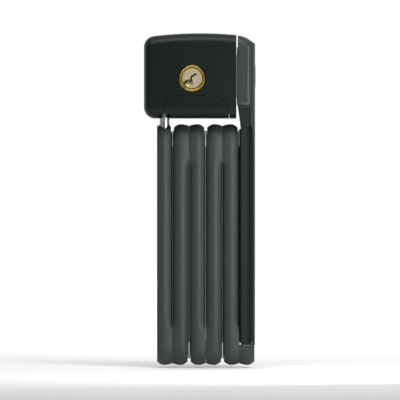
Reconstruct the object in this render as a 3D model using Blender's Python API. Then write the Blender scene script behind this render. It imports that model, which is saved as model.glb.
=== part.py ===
"""A six-bar folding bicycle lock, folded and unlocked, in its own frame.

X runs across the stack of bars, Y from the keyhole side to the back, Z up. The origin is under the
middle of the stack, level with the bars' lower ends. Every pivot axis runs along X.
"""

import math

import bmesh
import bpy

MM = 0.001

# Driving sizes.
SHORT_BARS = 5
PIVOT_PITCH = 94.5 * MM       # pivot to pivot in a short bar
COLUMN_PITCH = 7.55 * MM      # centre to centre of neighbouring bars
JACKET_THICK = 6.25 * MM      # bar with its plastic jacket, along X
JACKET_RADIUS = 7.4 * MM      # half the bar's width, and its end radius
CROWN = 1.35 * MM             # how far the jacket's rim falls away at its sides
CORE_THICK = 4.4 * MM
CORE_RADIUS = 5.7 * MM
RIVET_DIAMETER = 5.0 * MM
RIVET_HEAD_DIAMETER = 8.6 * MM
RIVET_HEAD_THICK = 0.5 * MM
LOCK_LENGTH = 41.7 * MM       # lock body along X
LOCK_HEIGHT = 38.3 * MM
LOCK_DEPTH = 27.0 * MM
LOCK_ABOVE_BARS = 2.4 * MM
LOCK_CORNER = 5.0 * MM        # corner radius seen from the front
LOCK_EDGE = 4.3 * MM          # rounding from the front face to the top and bottom
LOCK_SIDE_EDGE = 2.6 * MM     # rounding from the front face to the left side
ARCH_RISE = 1.25 * MM         # rise of the lock's arched top over half its length
COVER_WALL = 1.8 * MM
HEAD_GAP = 0.75 * MM          # slit between lock body and long bar
HEAD_THICK = 7.7 * MM
STRIP_THICK = 2.1 * MM        # outer strip of the long bar's cover
STRIP_HALF_WIDTH = 8.2 * MM
PIVOT_DIAMETER = 8.0 * MM
WASHER_DIAMETER = 19.4 * MM
STUB_DIAMETER = 5.2 * MM
STUB_LENGTH = 11.6 * MM
STUB_NECK_DIAMETER = 3.2 * MM
PLUG_DIAMETER = 9.2 * MM
CYLINDER_WALL = 1.3 * MM        # brass between the plug's bore and the cylinder's outside
PLUG_LENGTH = 17.0 * MM
PIN_COUNT = 5
PIN_DIAMETER = 1.8 * MM
DRIVER_LENGTH = 2.7 * MM
SPRING_LENGTH = 2.5 * MM
PIN_PITCH = 2.5 * MM
PIN_ANGLE = math.radians(45)  # direction of the pin chambers, from +X towards +Z
CAM_THROW = 3.1 * MM
LATCH_THICK = 1.6 * MM
KEYWAY_HALF = 0.42 * MM         # half the keyway's width
PIVOT_HEAD_DIAMETER = 11.5 * MM
COVER_EDGE = 2.2 * MM           # rounding of the long bar's outer edge
SCREW_DIAMETER = 2.4 * MM

# Clearances.
GAP = 0.3 * MM                # between pieces that touch on the real lock
SLIDE = 0.35 * MM             # around pieces that slide or turn
PAST = 2.0 * MM               # how far a cutter runs past what it cuts

# Places worked out from the sizes.
COLUMNS = [(n - 2.5) * COLUMN_PITCH + 2.815 * MM for n in range(SHORT_BARS + 1)]
LOW_PIVOT = JACKET_RADIUS
HIGH_PIVOT = LOW_PIVOT + PIVOT_PITCH
BARS_TOP = HIGH_PIVOT + JACKET_RADIUS
LOCK_BOTTOM = BARS_TOP + LOCK_ABOVE_BARS
LOCK_TOP = LOCK_BOTTOM + LOCK_HEIGHT
COVER_RIGHT = COLUMNS[SHORT_BARS] + CORE_THICK / 2 + 2 * GAP + 0.58 * MM
HEAD_LEFT = COVER_RIGHT - HEAD_THICK
LOCK_RIGHT = HEAD_LEFT - HEAD_GAP
LOCK_LEFT = LOCK_RIGHT - LOCK_LENGTH
LOCK_HALF = LOCK_DEPTH / 2
LOCK_PIVOT = LOCK_BOTTOM + LOCK_HEIGHT / 2 - 0.1 * MM
PAD = (COLUMN_PITCH - JACKET_THICK - GAP) / 2
PAD_END = 8.6 * MM            # full pad height this far from a pivot
PAD_RUN = 2.6 * MM            # then it runs out over this length
CAVITY_HALF = CORE_THICK / 2 + GAP
CAVITY_RADIUS = CORE_RADIUS + GAP
PIVOT_HOLE = RIVET_HEAD_DIAMETER / 2 + 0.5 * MM
PARTING = LOW_PIVOT + 1.8 * MM  # where the long bar's foot meets its cover
STUB_X = COLUMNS[0] + 0.2 * MM
STUB_BASE = BARS_TOP - 1.7 * MM
STUB_TOP = STUB_BASE + STUB_LENGTH
SOCKET_HALF = STUB_DIAMETER / 2 + SLIDE
SOCKET_TOP = STUB_TOP + 0.6 * MM
BLOCK_BOTTOM = LOCK_BOTTOM + COVER_WALL + GAP
BLOCK_HALF = LOCK_HALF - COVER_WALL - GAP
PLATE_THICK = 1.5 * MM
SEAM_LEFT = STUB_X - 0.42 * MM
SEAM_RIGHT = LOCK_RIGHT - 3.2 * MM
LATCH_LOW = BLOCK_BOTTOM + 1.7 * MM
LATCH_HIGH = LATCH_LOW + LATCH_THICK
LATCH_HALF = 3.3 * MM
LATCH_TIP = STUB_X + SOCKET_HALF + 0.3 * MM
LATCH_TRAVEL = 2 * CAM_THROW * math.sin(math.radians(45))
CYLINDER_DIAMETER = PLUG_DIAMETER + 2 * CYLINDER_WALL
DRIVER_LOW = PLUG_DIAMETER / 2 + 0.2 * MM
SPRING_LOW = DRIVER_LOW + DRIVER_LENGTH + 0.1 * MM
CHAMBER_REACH = SPRING_LOW + SPRING_LENGTH + 0.1 * MM
CYLINDER_X = LOCK_LEFT + 21.7 * MM
CYLINDER_Z = LOCK_BOTTOM + 17.9 * MM
CYLINDER_FRONT = -LOCK_HALF - 0.3 * MM
PLUG_FRONT = CYLINDER_FRONT + 0.35 * MM
PLUG_BACK = PLUG_FRONT + PLUG_LENGTH
CYLINDER_BACK = PLUG_BACK - GAP
CAM_BACK = PLUG_BACK + GAP + 1.5 * MM
CRANK_X = CYLINDER_X + CAM_THROW * math.cos(math.radians(-45))
CRANK_Z = CYLINDER_Z + CAM_THROW * math.sin(math.radians(-45))
YOKE_FRONT = CAM_BACK + 0.5 * MM
YOKE_BACK = YOKE_FRONT + 1.6 * MM
WASHER_THICK = HEAD_GAP - 2 * 0.12 * MM


def clear_scene():
    for old in list(bpy.data.objects):
        bpy.data.objects.remove(old, do_unlink=True)


def material(name, color, rough, metal=0.0):
    """A plain Principled material."""
    made = bpy.data.materials.new(name)
    made.use_nodes = True
    shader = made.node_tree.nodes["Principled BSDF"]
    shader.inputs["Base Color"].default_value = (*color, 1.0)
    shader.inputs["Roughness"].default_value = rough
    shader.inputs["Metallic"].default_value = metal
    made.diffuse_color = (*color, 1.0)
    return made


def body(name, points, faces, looks=None):
    """A mesh object from points and faces, turned outwards, with round stretches smooth."""
    mesh = bpy.data.meshes.new(name)
    shape = bmesh.new()
    corners = [shape.verts.new(p) for p in points]
    for face in faces:
        shape.faces.new([corners[i] for i in face])
    bmesh.ops.recalc_face_normals(shape, faces=shape.faces)
    shape.to_mesh(mesh)
    shape.free()
    made = bpy.data.objects.new(name, mesh)
    bpy.context.scene.collection.objects.link(made)
    if looks:
        mesh.materials.append(material(name, *looks))
    mesh.shade_smooth()
    mesh.set_sharp_from_angle(angle=math.radians(35))
    return made


def loft(name, rings, looks=None):
    """A closed body through rings of equally many points, its two ends filled."""
    count = len(rings[0])
    points = [p for ring in rings for p in ring]
    faces = [list(range(count)), list(range(len(points) - count, len(points)))]
    for r in range(len(rings) - 1):
        for i in range(count):
            j = (i + 1) % count
            a, b = r * count, (r + 1) * count
            faces.append([a + i, a + j, b + j, b + i])
    return body(name, points, faces, looks)


def place(axis, u, v, w):
    """(u, v) in the plane across an axis, w along it: X takes (y, z), Y takes (x, z), Z takes (x, y)."""
    return {"X": (w, u, v), "Y": (u, w, v), "Z": (u, v, w)}[axis]


def prism(name, axis, outline, low, high, looks=None):
    rings = [[place(axis, u, v, w) for u, v in outline] for w in (low, high)]
    return loft(name, rings, looks)


def block(name, low, high, looks=None):
    """A box between two corners."""
    outline = [(low[0], low[1]), (high[0], low[1]), (high[0], high[1]), (low[0], high[1])]
    return prism(name, "Z", outline, low[2], high[2], looks)


def turned(name, axis, centre, profile, steps=20, looks=None):
    """A solid of revolution: profile lists (place along the axis, radius) from one end to the other."""
    rings = []
    for along, radius in profile:
        turns = [2 * math.pi * (i + 0.5) / steps for i in range(steps)]
        rings.append([
            place(axis, centre[0] + radius * math.cos(t), centre[1] + radius * math.sin(t), along)
            for t in turns
        ])
    return loft(name, rings, looks)


def ring(name, axis, centre, outer, inner, low, high, steps=20, looks=None):
    """A washer or tube: four circles joined into a closed band."""
    rings = []
    for radius, along in ((outer, low), (outer, high), (inner, high), (inner, low)):
        turns = [2 * math.pi * (i + 0.5) / steps for i in range(steps)]
        rings.append([
            place(axis, centre[0] + radius * math.cos(t), centre[1] + radius * math.sin(t), along)
            for t in turns
        ])
    points = [p for one in rings for p in one]
    faces = []
    for r in range(4):
        for i in range(steps):
            j = (i + 1) % steps
            a, b = r * steps, (r + 1) % 4 * steps
            faces.append([a + i, a + j, b + j, b + i])
    return body(name, points, faces, looks)


def coil(name, start, along, side, radius, wire, length, turns, steps=8, looks=None):
    """A helical spring: a four-sided wire carried round an axis, with filled ends."""
    up = (
        along[1] * side[2] - along[2] * side[1],
        along[2] * side[0] - along[0] * side[2],
        along[0] * side[1] - along[1] * side[0],
    )
    rings = []
    total = int(turns * steps)
    for s in range(total + 1):
        t = 2 * math.pi * s / steps
        rise = wire + (length - 2 * wire) * s / total
        out = [math.cos(t) * side[k] + math.sin(t) * up[k] for k in range(3)]
        section = []
        for q in range(4):
            a = 2 * math.pi * q / 4
            r, h = radius + wire * math.cos(a), rise + wire * math.sin(a)
            section.append(tuple(start[k] + out[k] * r + along[k] * h for k in range(3)))
        rings.append(section)
    return loft(name, rings, looks)


def boolean(target, cutter, operation="DIFFERENCE"):
    """Cuts, joins or intersects one object with a hidden helper."""
    cutter.hide_render = True
    cutter.display_type = "WIRE"
    step = target.modifiers.new(cutter.name, "BOOLEAN")
    step.operation = operation
    step.solver = "EXACT"
    step.object = cutter


def rounded(corners, segments=6):
    """An outline whose corners (u, v, radius) become arcs."""
    outline = []
    for i, (u, v, radius) in enumerate(corners):
        if not radius:
            outline.append((u, v))
            continue
        before, after = corners[i - 1], corners[(i + 1) % len(corners)]
        to_before = math.atan2(before[1] - v, before[0] - u)
        to_after = math.atan2(after[1] - v, after[0] - u)
        half = ((to_after - to_before + math.pi) % (2 * math.pi) - math.pi) / 2
        middle = to_before + half
        reach = radius / math.sin(abs(half))
        centre = (u + reach * math.cos(middle), v + reach * math.sin(middle))
        sweep = (math.pi / 2 - abs(half)) * (1 if half > 0 else -1)
        for s in range(segments + 1):
            a = middle + math.pi + sweep * (1 - 2 * s / segments)
            outline.append((centre[0] + radius * math.cos(a), centre[1] + radius * math.sin(a)))
    return outline


def outward(outline, i):
    """The outline's outward normal at a point, stretched so that an offset keeps its distance."""
    (u0, v0), (u1, v1), (u2, v2) = outline[i - 1], outline[i], outline[(i + 1) % len(outline)]
    first, second = math.hypot(u1 - u0, v1 - v0), math.hypot(u2 - u1, v2 - v1)
    n1 = ((v1 - v0) / first, -(u1 - u0) / first)
    n2 = ((v2 - v1) / second, -(u2 - u1) / second)
    share = 1 + n1[0] * n2[0] + n1[1] * n2[1]
    return (n1[0] + n2[0]) / share, (n1[1] + n2[1]) / share


def stadium(radius, low, high, steps=12, stations=()):
    """A slot outline in (y, z) round two pivots, its straight sides split at the stations."""
    outline = []
    for s in range(steps + 1):
        a = math.pi * s / steps
        outline.append((radius * math.cos(a), high + radius * math.sin(a)))
    outline += [(-radius, z) for z in sorted(stations, reverse=True)]
    for s in range(steps + 1):
        a = math.pi + math.pi * s / steps
        outline.append((radius * math.cos(a), low + radius * math.sin(a)))
    return outline + [(radius, z) for z in sorted(stations)]


def pad_height(z, pivots):
    """How far a jacket's side stands out at a height: full round a pivot, then a straight run-out."""
    away = min((abs(z - p) for p in pivots), default=1.0)
    return PAD * min(1.0, max(0.0, (PAD_END + PAD_RUN - away) / PAD_RUN))


def jacket_solid(name, x, left_pivots, right_pivots, looks=None):
    """The jacket's outer form: slot outlines across its thickness, smaller towards both sides.

    At a share u of the half thickness the outline's radius is JACKET_RADIUS less CROWN times
    |u| to the power 2.5, and x is u times the half thickness with its pad.
    """
    stations = []
    for pivot in (LOW_PIVOT + PAD_END, HIGH_PIVOT - PAD_END - PAD_RUN):
        stations += [pivot, pivot + PAD_RUN]
    rings, quarter = [], 6
    for u in (-1, -0.8, -0.45, 0.45, 0.8, 1):
        radius = JACKET_RADIUS - CROWN * abs(u) ** 2.5
        pivots = right_pivots if u > 0 else left_pivots
        outline = stadium(radius, LOW_PIVOT, HIGH_PIVOT, 2 * quarter, stations)
        rings.append([
            (x + u * (JACKET_THICK / 2 + pad_height(z, pivots)), y, z) for y, z in outline
        ])
    count = len(rings[0])
    points = [p for one in rings for p in one]
    faces = []
    for r in range(len(rings) - 1):
        for i in range(count):
            j = (i + 1) % count
            a, b = r * count, (r + 1) * count
            faces.append([a + i, a + j, b + j, b + i])
    for first in (0, len(points) - count):
        for i in range(count // 2):
            faces.append([
                first + (quarter + i) % count, first + (quarter + i + 1) % count,
                first + (quarter - i - 1) % count, first + (quarter - i) % count,
            ])
    faces = [list(dict.fromkeys(face)) for face in faces]
    return body(name, points, faces, looks)


def bar_jacket(name, x, left_pivots, right_pivots, looks):
    """A hollow jacket, open to its core through the pivot holes."""
    made = jacket_solid(name, x, left_pivots, right_pivots, looks)
    hollow = prism(
        name + "_hollow", "X", stadium(CAVITY_RADIUS, LOW_PIVOT, HIGH_PIVOT, 10),
        x - CAVITY_HALF, x + CAVITY_HALF,
    )
    boolean(made, hollow)
    reach = JACKET_THICK / 2 + PAD + PAST
    for end, pivot in (("low", LOW_PIVOT), ("high", HIGH_PIVOT)):
        if pivot in left_pivots + right_pivots:
            hole = turned(
                f"{name}_{end}_hole", "X", (0, pivot),
                [(x - reach, PIVOT_HOLE), (x + reach, PIVOT_HOLE)],
            )
            boolean(made, hole)
    return made


def bar_core(name, x, pivots, top, looks):
    """A flat steel bar with a round bore at each pivot."""
    made = prism(
        name, "X", stadium(CORE_RADIUS, LOW_PIVOT, top, 10),
        x - CORE_THICK / 2, x + CORE_THICK / 2, looks,
    )
    for number, (pivot, diameter) in enumerate(pivots):
        radius = diameter / 2 + GAP
        reach = CORE_THICK / 2 + PAST
        bore = turned(
            f"{name}_bore_{number}", "X", (0, pivot), [(x - reach, radius), (x + reach, radius)]
        )
        boolean(made, bore)
    return made


PLASTIC = ((0.055, 0.062, 0.062), 0.5)
BLACK = ((0.012, 0.016, 0.016), 0.42)
STEEL = ((0.45, 0.46, 0.47), 0.3, 1.0)
BRASS = ((0.72, 0.55, 0.22), 0.28, 1.0)
NYLON = ((0.62, 0.63, 0.62), 0.5)


def joint_height(n):
    """The pivot between short bar n and the next column: low for odd bars, high for even ones."""
    return LOW_PIVOT if n % 2 else HIGH_PIVOT


def short_bars():
    for n in range(1, SHORT_BARS + 1):
        x = COLUMNS[n - 1]
        left = [joint_height(n - 1)] if n > 1 else []
        right = [joint_height(n)]
        jacket = bar_jacket(f"bar_{n}_jacket", x, left, right, PLASTIC)
        pivots = [(p, RIVET_DIAMETER) for p in left + right]
        core = bar_core(f"bar_{n}_core", x, pivots, HIGH_PIVOT, STEEL)
        if n == 1:
            open_for_stub(jacket, core)


def open_for_stub(jacket, core):
    """The first bar's upper end: a seat for the stub, open towards the front."""
    half = STUB_DIAMETER / 2 + GAP
    seat = block(
        "stub_seat", (STUB_X - half, -JACKET_RADIUS - PAST, STUB_BASE - GAP),
        (STUB_X + half, half, BARS_TOP + PAST),
    )
    boolean(jacket, seat)
    flat = block(
        "core_flat", (STUB_X - 2 * half, -CORE_RADIUS - PAST, STUB_BASE - GAP),
        (STUB_X + 2 * half, CORE_RADIUS + PAST, BARS_TOP + PAST),
    )
    boolean(core, flat)
    bore = turned(
        "stub_bore", "Z", (STUB_X, 0), [(STUB_BASE - 5.4 * MM, 1.6 * MM), (BARS_TOP, 1.6 * MM)], 12
    )
    boolean(core, bore)


def locking_stub():
    """The steel stub: a shank in the bar, a plain collar, a neck for the latch and a rounded tip."""
    radius, neck = STUB_DIAMETER / 2, STUB_NECK_DIAMETER / 2
    low, high = LATCH_LOW - 0.4 * MM, LATCH_HIGH + 0.4 * MM
    turned("locking_stub", "Z", (STUB_X, 0), [
        (STUB_BASE - 5.0 * MM, 1.3 * MM), (STUB_BASE, 1.3 * MM), (STUB_BASE, radius),
        (low, radius), (low, neck), (high, neck), (high, radius),
        (STUB_TOP - 0.8 * MM, radius), (STUB_TOP, radius - 0.9 * MM),
    ], 18, STEEL)


def rivets():
    """Each pivot has a rivet through both cores and a steel spacer between them."""
    for n in range(1, SHORT_BARS + 1):
        z = joint_height(n)
        low = COLUMNS[n - 1] - CORE_THICK / 2 - GAP
        high = COLUMNS[n] + CORE_THICK / 2 + GAP
        shaft, head = RIVET_DIAMETER / 2, RIVET_HEAD_DIAMETER / 2
        turned(f"rivet_{n}", "X", (0, z), [
            (low - RIVET_HEAD_THICK, head - 0.3 * MM), (low - RIVET_HEAD_THICK / 2, head),
            (low, head), (low, shaft), (high, shaft), (high, head),
            (high + RIVET_HEAD_THICK / 2, head), (high + RIVET_HEAD_THICK, head - 0.3 * MM),
        ], 16, STEEL)
        ring(
            f"rivet_spacer_{n}", "X", (0, z), head, shaft + GAP,
            COLUMNS[n - 1] + CORE_THICK / 2 + GAP, COLUMNS[n] - CORE_THICK / 2 - GAP, 20, STEEL,
        )


def long_bar():
    """The long bar: a steel core from the foot pivot to the lock's pivot, its foot and its cover."""
    x = COLUMNS[SHORT_BARS]
    bar_core(
        "long_bar_core", x, [(LOW_PIVOT, RIVET_DIAMETER), (LOCK_PIVOT, PIVOT_DIAMETER)],
        LOCK_PIVOT, STEEL,
    )
    eye = turned("long_bar_eye", "X", (0, LOCK_PIVOT), [
        (x - CORE_THICK / 2, 8.6 * MM), (x + CORE_THICK / 2, 8.6 * MM),
    ], 28)
    core = bpy.data.objects["long_bar_core"]
    boolean(core, eye, "UNION")
    core.modifiers.move(len(core.modifiers) - 1, 0)

    foot = bar_jacket("long_bar_foot", x, [LOW_PIVOT], [], PLASTIC)
    wide = JACKET_RADIUS + PAST
    above = block(
        "foot_cut", (x - COLUMN_PITCH, -wide, PARTING - GAP / 2), (x + COLUMN_PITCH, wide, LOCK_TOP)
    )
    boolean(foot, above)
    long_bar_cover(x)


def head_outline():
    """The cover seen from the side in (y, z): a broad rounded head that narrows to the strip."""
    head, strip = LOCK_HALF, STRIP_HALF_WIDTH
    top, low = LOCK_TOP - 0.8 * MM, PARTING + GAP / 2
    waist, shoulder = LOCK_BOTTOM - 7.0 * MM, LOCK_BOTTOM + 6.5 * MM
    corner, sweep = LOCK_CORNER + 0.2 * MM, 9.0 * MM
    return rounded([
        (-strip, low, 0), (strip, low, 0), (strip, waist, sweep), (head, shoulder, sweep),
        (head, top, corner), (-head, top, corner), (-head, shoulder, sweep), (-strip, waist, sweep),
    ], 5)


def long_bar_cover(x):
    """The black cover: strip and head in one, a slim web round the core, hollow for the core."""
    outline = head_outline()
    strip_left = COVER_RIGHT - STRIP_THICK
    stations = [(strip_left, 0.0), (COVER_RIGHT - COVER_EDGE * 0.92, 0.0)]
    stations += [
        (COVER_RIGHT - COVER_EDGE + COVER_EDGE * math.sin(a), COVER_EDGE * (1 - math.cos(a)))
        for a in (math.radians(d) for d in (30, 55, 75, 90))
    ]
    rings = []
    for across, inset in stations:
        one = []
        for i, (y, z) in enumerate(outline):
            ny, nz = outward(outline, i)
            drop = inset if z > PARTING + GAP else 0.0
            one.append((across, y - ny * inset, z - nz * drop))
        rings.append(one)
    cover = loft("long_bar_cover", rings, BLACK)

    head_low = BARS_TOP - 2.2 * MM
    head = prism(
        "cover_head", "X",
        [(y, z) for y, z in outline if z > head_low + 4.0 * MM]
        + [(-STRIP_HALF_WIDTH, head_low), (STRIP_HALF_WIDTH, head_low)],
        HEAD_LEFT, strip_left + 0.4 * MM,
    )
    boolean(cover, head, "UNION")
    web_left = x - JACKET_THICK / 2 + 0.1 * MM
    slope = prism("head_slope", "Y", [
        (HEAD_LEFT - PAST, head_low - PAST), (web_left + 0.3 * MM, head_low - PAST),
        (web_left, head_low + 0.5 * MM), (HEAD_LEFT, LOCK_BOTTOM + 6.0 * MM),
        (HEAD_LEFT - PAST, LOCK_BOTTOM + 6.0 * MM),
    ], -LOCK_DEPTH, LOCK_DEPTH)
    boolean(cover, slope)
    web = block(
        "cover_web", (web_left, -CAVITY_RADIUS - 0.9 * MM, PARTING + GAP / 2),
        (strip_left + 0.4 * MM, CAVITY_RADIUS + 0.9 * MM, head_low + 4.0 * MM),
    )
    boolean(cover, web, "UNION")
    tunnel = prism(
        "cover_tunnel", "X", stadium(CAVITY_RADIUS, LOW_PIVOT, LOCK_PIVOT, 10),
        x - CAVITY_HALF, x + CAVITY_HALF,
    )
    boolean(cover, tunnel)
    pocket = turned("cover_pocket", "X", (0, LOCK_PIVOT), [
        (x - CAVITY_HALF, 8.9 * MM), (x + CAVITY_HALF, 8.9 * MM),
    ], 28)
    boolean(cover, pocket)
    for name, z, radius in (("low", LOW_PIVOT, PIVOT_HOLE), ("lock", LOCK_PIVOT, PIVOT_HEAD_DIAMETER / 2 + SLIDE)):
        hole = turned(f"cover_{name}_hole", "X", (0, z), [
            (HEAD_LEFT - PAST, radius), (COVER_RIGHT + PAST, radius),
        ])
        boolean(cover, hole)


def lock_outline(inset=0.0):
    """The lock body seen from the front in (x, z): flat right side, arched top, rounded left."""
    left, right = LOCK_LEFT + inset, LOCK_RIGHT - inset
    middle, half = (LOCK_LEFT + LOCK_RIGHT) / 2 + 4.5 * MM, LOCK_LENGTH / 2
    bottom = LOCK_BOTTOM + inset
    corner = LOCK_CORNER - inset

    def arch(x):
        return LOCK_TOP - inset - ARCH_RISE * ((x - middle) / half) ** 2

    steps = 5
    start = LOCK_LEFT + LOCK_CORNER + 1.2 * MM
    corners = [(left, bottom, corner), (right, bottom, 0)]
    for s in range(steps + 1):
        x = right + (start - right) * s / steps
        corners.append((x, arch(x), 0))
    corners.append((left, arch(left), corner))
    return rounded(corners, 5)


def lock_solid(name, inset=0.0, looks=None):
    """The lock body's outer form, or the room inside it when inset is the wall.

    Rings at each depth are the outline, drawn in by a quarter ellipse near both faces: LOCK_EDGE
    at top and bottom, LOCK_SIDE_EDGE at the left, nothing at the flat right side.
    """
    outline = lock_outline(inset)
    half = LOCK_HALF - inset
    deep = LOCK_EDGE - inset
    quarter = [math.radians(d) for d in (90, 62, 32, 0)]
    stations = [(-half + deep * (1 - math.cos(a)), 1 - math.sin(a)) for a in quarter[::-1]]
    stations += [(-y, share) for y, share in reversed(stations)]
    right = max(u for u, _ in outline)
    rings = []
    for y, share in stations:
        one = []
        for i, (u, v) in enumerate(outline):
            nu, nv = outward(outline, i)
            if abs(u - right) < 1e-7:
                nu, nv = 0.0, math.copysign(1.0, nv)
            total = nu * nu + nv * nv
            edge = max(LOCK_SIDE_EDGE - inset, 0) * nu * nu / total + deep * nv * nv / total
            one.append((u - nu * edge * share, y, v - nv * edge * share))
        rings.append(one)
    return loft(name, rings, looks)


def seam_outline(grow):
    """The arched parting line of the bottom insert, moved outwards by grow."""
    left, right = SEAM_LEFT - grow, SEAM_RIGHT + grow
    top, low = LOCK_BOTTOM + 10.0 * MM + grow, LOCK_BOTTOM - PAST
    return rounded([
        (left - 0.3 * MM, low, 0), (right + 0.3 * MM, low, 0), (right, LOCK_BOTTOM + 1.0 * MM, 0),
        (right - 1.7 * MM, top, 7.5 * MM + grow), (left + 1.3 * MM, top, 5.5 * MM + grow),
        (left, LOCK_BOTTOM + 3.0 * MM, 0),
    ], 6)


def socket_cutter(name):
    """The way in for the stub: a slot from the lock's middle to its back, open below."""
    return block(
        name, (STUB_X - SOCKET_HALF, -SOCKET_HALF, LOCK_BOTTOM - PAST),
        (STUB_X + SOCKET_HALF, LOCK_DEPTH, SOCKET_TOP),
    )


def notch_cutter(name):
    """The shallow notch that the stub's foot shows in, through the whole depth."""
    return block(
        name, (STUB_X - SOCKET_HALF, -LOCK_DEPTH, LOCK_BOTTOM - PAST),
        (STUB_X + SOCKET_HALF, LOCK_DEPTH, LOCK_BOTTOM + COVER_WALL + 0.1 * MM),
    )


def screw_places():
    return [
        (LOCK_LEFT + 7.0 * MM, LOCK_TOP - 8.0 * MM), (LOCK_RIGHT - 4.6 * MM, LOCK_TOP - 6.6 * MM),
        (LOCK_RIGHT - 4.6 * MM, LOCK_BOTTOM + 14.2 * MM),
    ]


def lock_covers():
    """Front and rear cover shells and the insert that closes the arch at the bottom."""
    deep = LOCK_DEPTH
    parts = [
        ("lock_cover_front", (0.0 - GAP / 2, deep)),
        ("lock_cover_rear", (-deep, 0.0 + GAP / 2)),
        ("bottom_insert", None),
    ]
    for name, cut in parts:
        made = lock_solid(name, 0.0, BLACK)
        boolean(made, lock_solid(name + "_room", COVER_WALL))
        if cut:
            low, high = cut
            boolean(made, block(
                name + "_half", (LOCK_LEFT - PAST, low, LOCK_BOTTOM - PAST),
                (LOCK_RIGHT + PAST, high, LOCK_TOP + PAST),
            ))
            boolean(made, prism(name + "_arch", "Y", seam_outline(GAP / 2), -deep, deep))
            boolean(made, turned(name + "_pivot", "X", (0, LOCK_PIVOT), [
                (LOCK_RIGHT - COVER_WALL - PAST, PIVOT_DIAMETER / 2 + 0.6 * MM),
                (LOCK_RIGHT + PAST, PIVOT_DIAMETER / 2 + 0.6 * MM),
            ], 24))
        else:
            boolean(made, prism(name + "_arch", "Y", seam_outline(-GAP / 2), -deep, deep), "INTERSECT")
        boolean(made, notch_cutter(name + "_notch"))
    front, rear = (bpy.data.objects[name] for name, cut in parts if cut)
    insert = bpy.data.objects["bottom_insert"]
    boolean(front, turned("cylinder_opening", "Y", (CYLINDER_X, CYLINDER_Z), [
        (-deep, CYLINDER_DIAMETER / 2 + GAP), (-BLOCK_HALF, CYLINDER_DIAMETER / 2 + GAP),
    ], 36))
    boolean(rear, socket_cutter("rear_socket"))
    boolean(insert, socket_cutter("insert_socket"))
    for n, (x, z) in enumerate(screw_places(), 1):
        boolean(rear, turned(f"screw_{n}_seat", "Y", (x, z), [
            (BLOCK_HALF - PAST, SCREW_DIAMETER / 2 + GAP), (LOCK_HALF - 1.0 * MM, SCREW_DIAMETER / 2 + GAP),
            (LOCK_HALF - 1.0 * MM, SCREW_DIAMETER + GAP), (LOCK_HALF + PAST, SCREW_DIAMETER + GAP),
        ], 14))


def lock_block():
    """The steel block inside the covers, with its back plate, bored for everything it holds."""
    inner = COVER_WALL + GAP
    block_back = BLOCK_HALF - PLATE_THICK - GAP
    cuts = [("lock_block", (block_back, LOCK_DEPTH)), ("lock_back_plate", (-LOCK_DEPTH, block_back + GAP))]
    for name, (low, high) in cuts:
        made = lock_solid(name, inner, STEEL)
        boolean(made, block(
            name + "_half", (LOCK_LEFT - PAST, low, LOCK_BOTTOM - PAST),
            (LOCK_RIGHT + PAST, high, LOCK_TOP + PAST),
        ))
        boolean(made, socket_cutter(name + "_socket"))
        for n, (x, z) in enumerate(screw_places(), 1):
            radius = SCREW_DIAMETER / 2 + 0.2 * MM
            boolean(made, turned(f"{name}_screw_{n}", "Y", (x, z), [
                (block_back - 6.0 * MM, radius), (LOCK_HALF, radius),
            ], 12))
    made = bpy.data.objects["lock_block"]
    bore = CYLINDER_DIAMETER / 2 + GAP
    boolean(made, turned("cylinder_bore", "Y", (CYLINDER_X, CYLINDER_Z), [
        (-LOCK_HALF, bore), (CYLINDER_BACK + GAP, bore), (CYLINDER_BACK + GAP, bore - 1.0 * MM),
        (LOCK_HALF, bore - 1.0 * MM),
    ], 28))
    boolean(made, chamber_prism("chamber_bore", GAP, -LOCK_HALF, CYLINDER_BACK + GAP))
    boolean(made, block(
        "latch_way", (LATCH_TIP - LATCH_TRAVEL - SLIDE, -LATCH_HALF - SLIDE, LATCH_LOW - SLIDE),
        (spring_end() + 0.4 * MM, LOCK_HALF, LATCH_HIGH + SLIDE),
    ))
    boolean(made, block(
        "yoke_way", (CRANK_X - 3.2 * MM - LATCH_TRAVEL - SLIDE, YOKE_FRONT - SLIDE, LATCH_LOW),
        (CRANK_X + 3.2 * MM + SLIDE, LOCK_HALF, CYLINDER_Z),
    ))
    nut_left, nut_right = nut_places()
    boolean(made, turned("pivot_bore", "X", (0, LOCK_PIVOT), [
        (nut_right, PIVOT_DIAMETER / 2 + GAP), (LOCK_RIGHT, PIVOT_DIAMETER / 2 + GAP),
    ], 20))
    boolean(made, block(
        "nut_room", (nut_left - GAP, -4.6 * MM, LOCK_PIVOT - 4.6 * MM),
        (nut_right + GAP, LOCK_HALF, LOCK_PIVOT + 4.6 * MM),
    ))


def nut_places():
    """The pivot nut's two faces along X."""
    left = CYLINDER_X + CYLINDER_DIAMETER / 2 + 3.6 * MM
    return left, left + 2.4 * MM


def spring_end():
    return CRANK_X + 3.0 * MM + 6.5 * MM


def chamber_prism(name, grow, low, high, looks=None):
    """The straight stack of metal over the pin chambers, a slim block leaning at PIN_ANGLE."""
    half, reach = PIN_DIAMETER / 2 + 1.0 * MM + grow, CHAMBER_REACH + grow
    c, s = math.cos(PIN_ANGLE), math.sin(PIN_ANGLE)
    corners = [(0.0, -half), (reach, -half), (reach, half), (0.0, half)]
    outline = [(CYLINDER_X + a * c - b * s, CYLINDER_Z + a * s + b * c) for a, b in corners]
    return prism(name, "Y", outline, low, high, looks)


def pin_station(n):
    return PLUG_FRONT + 3.0 * MM + PIN_PITCH * (n - 1)


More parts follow.
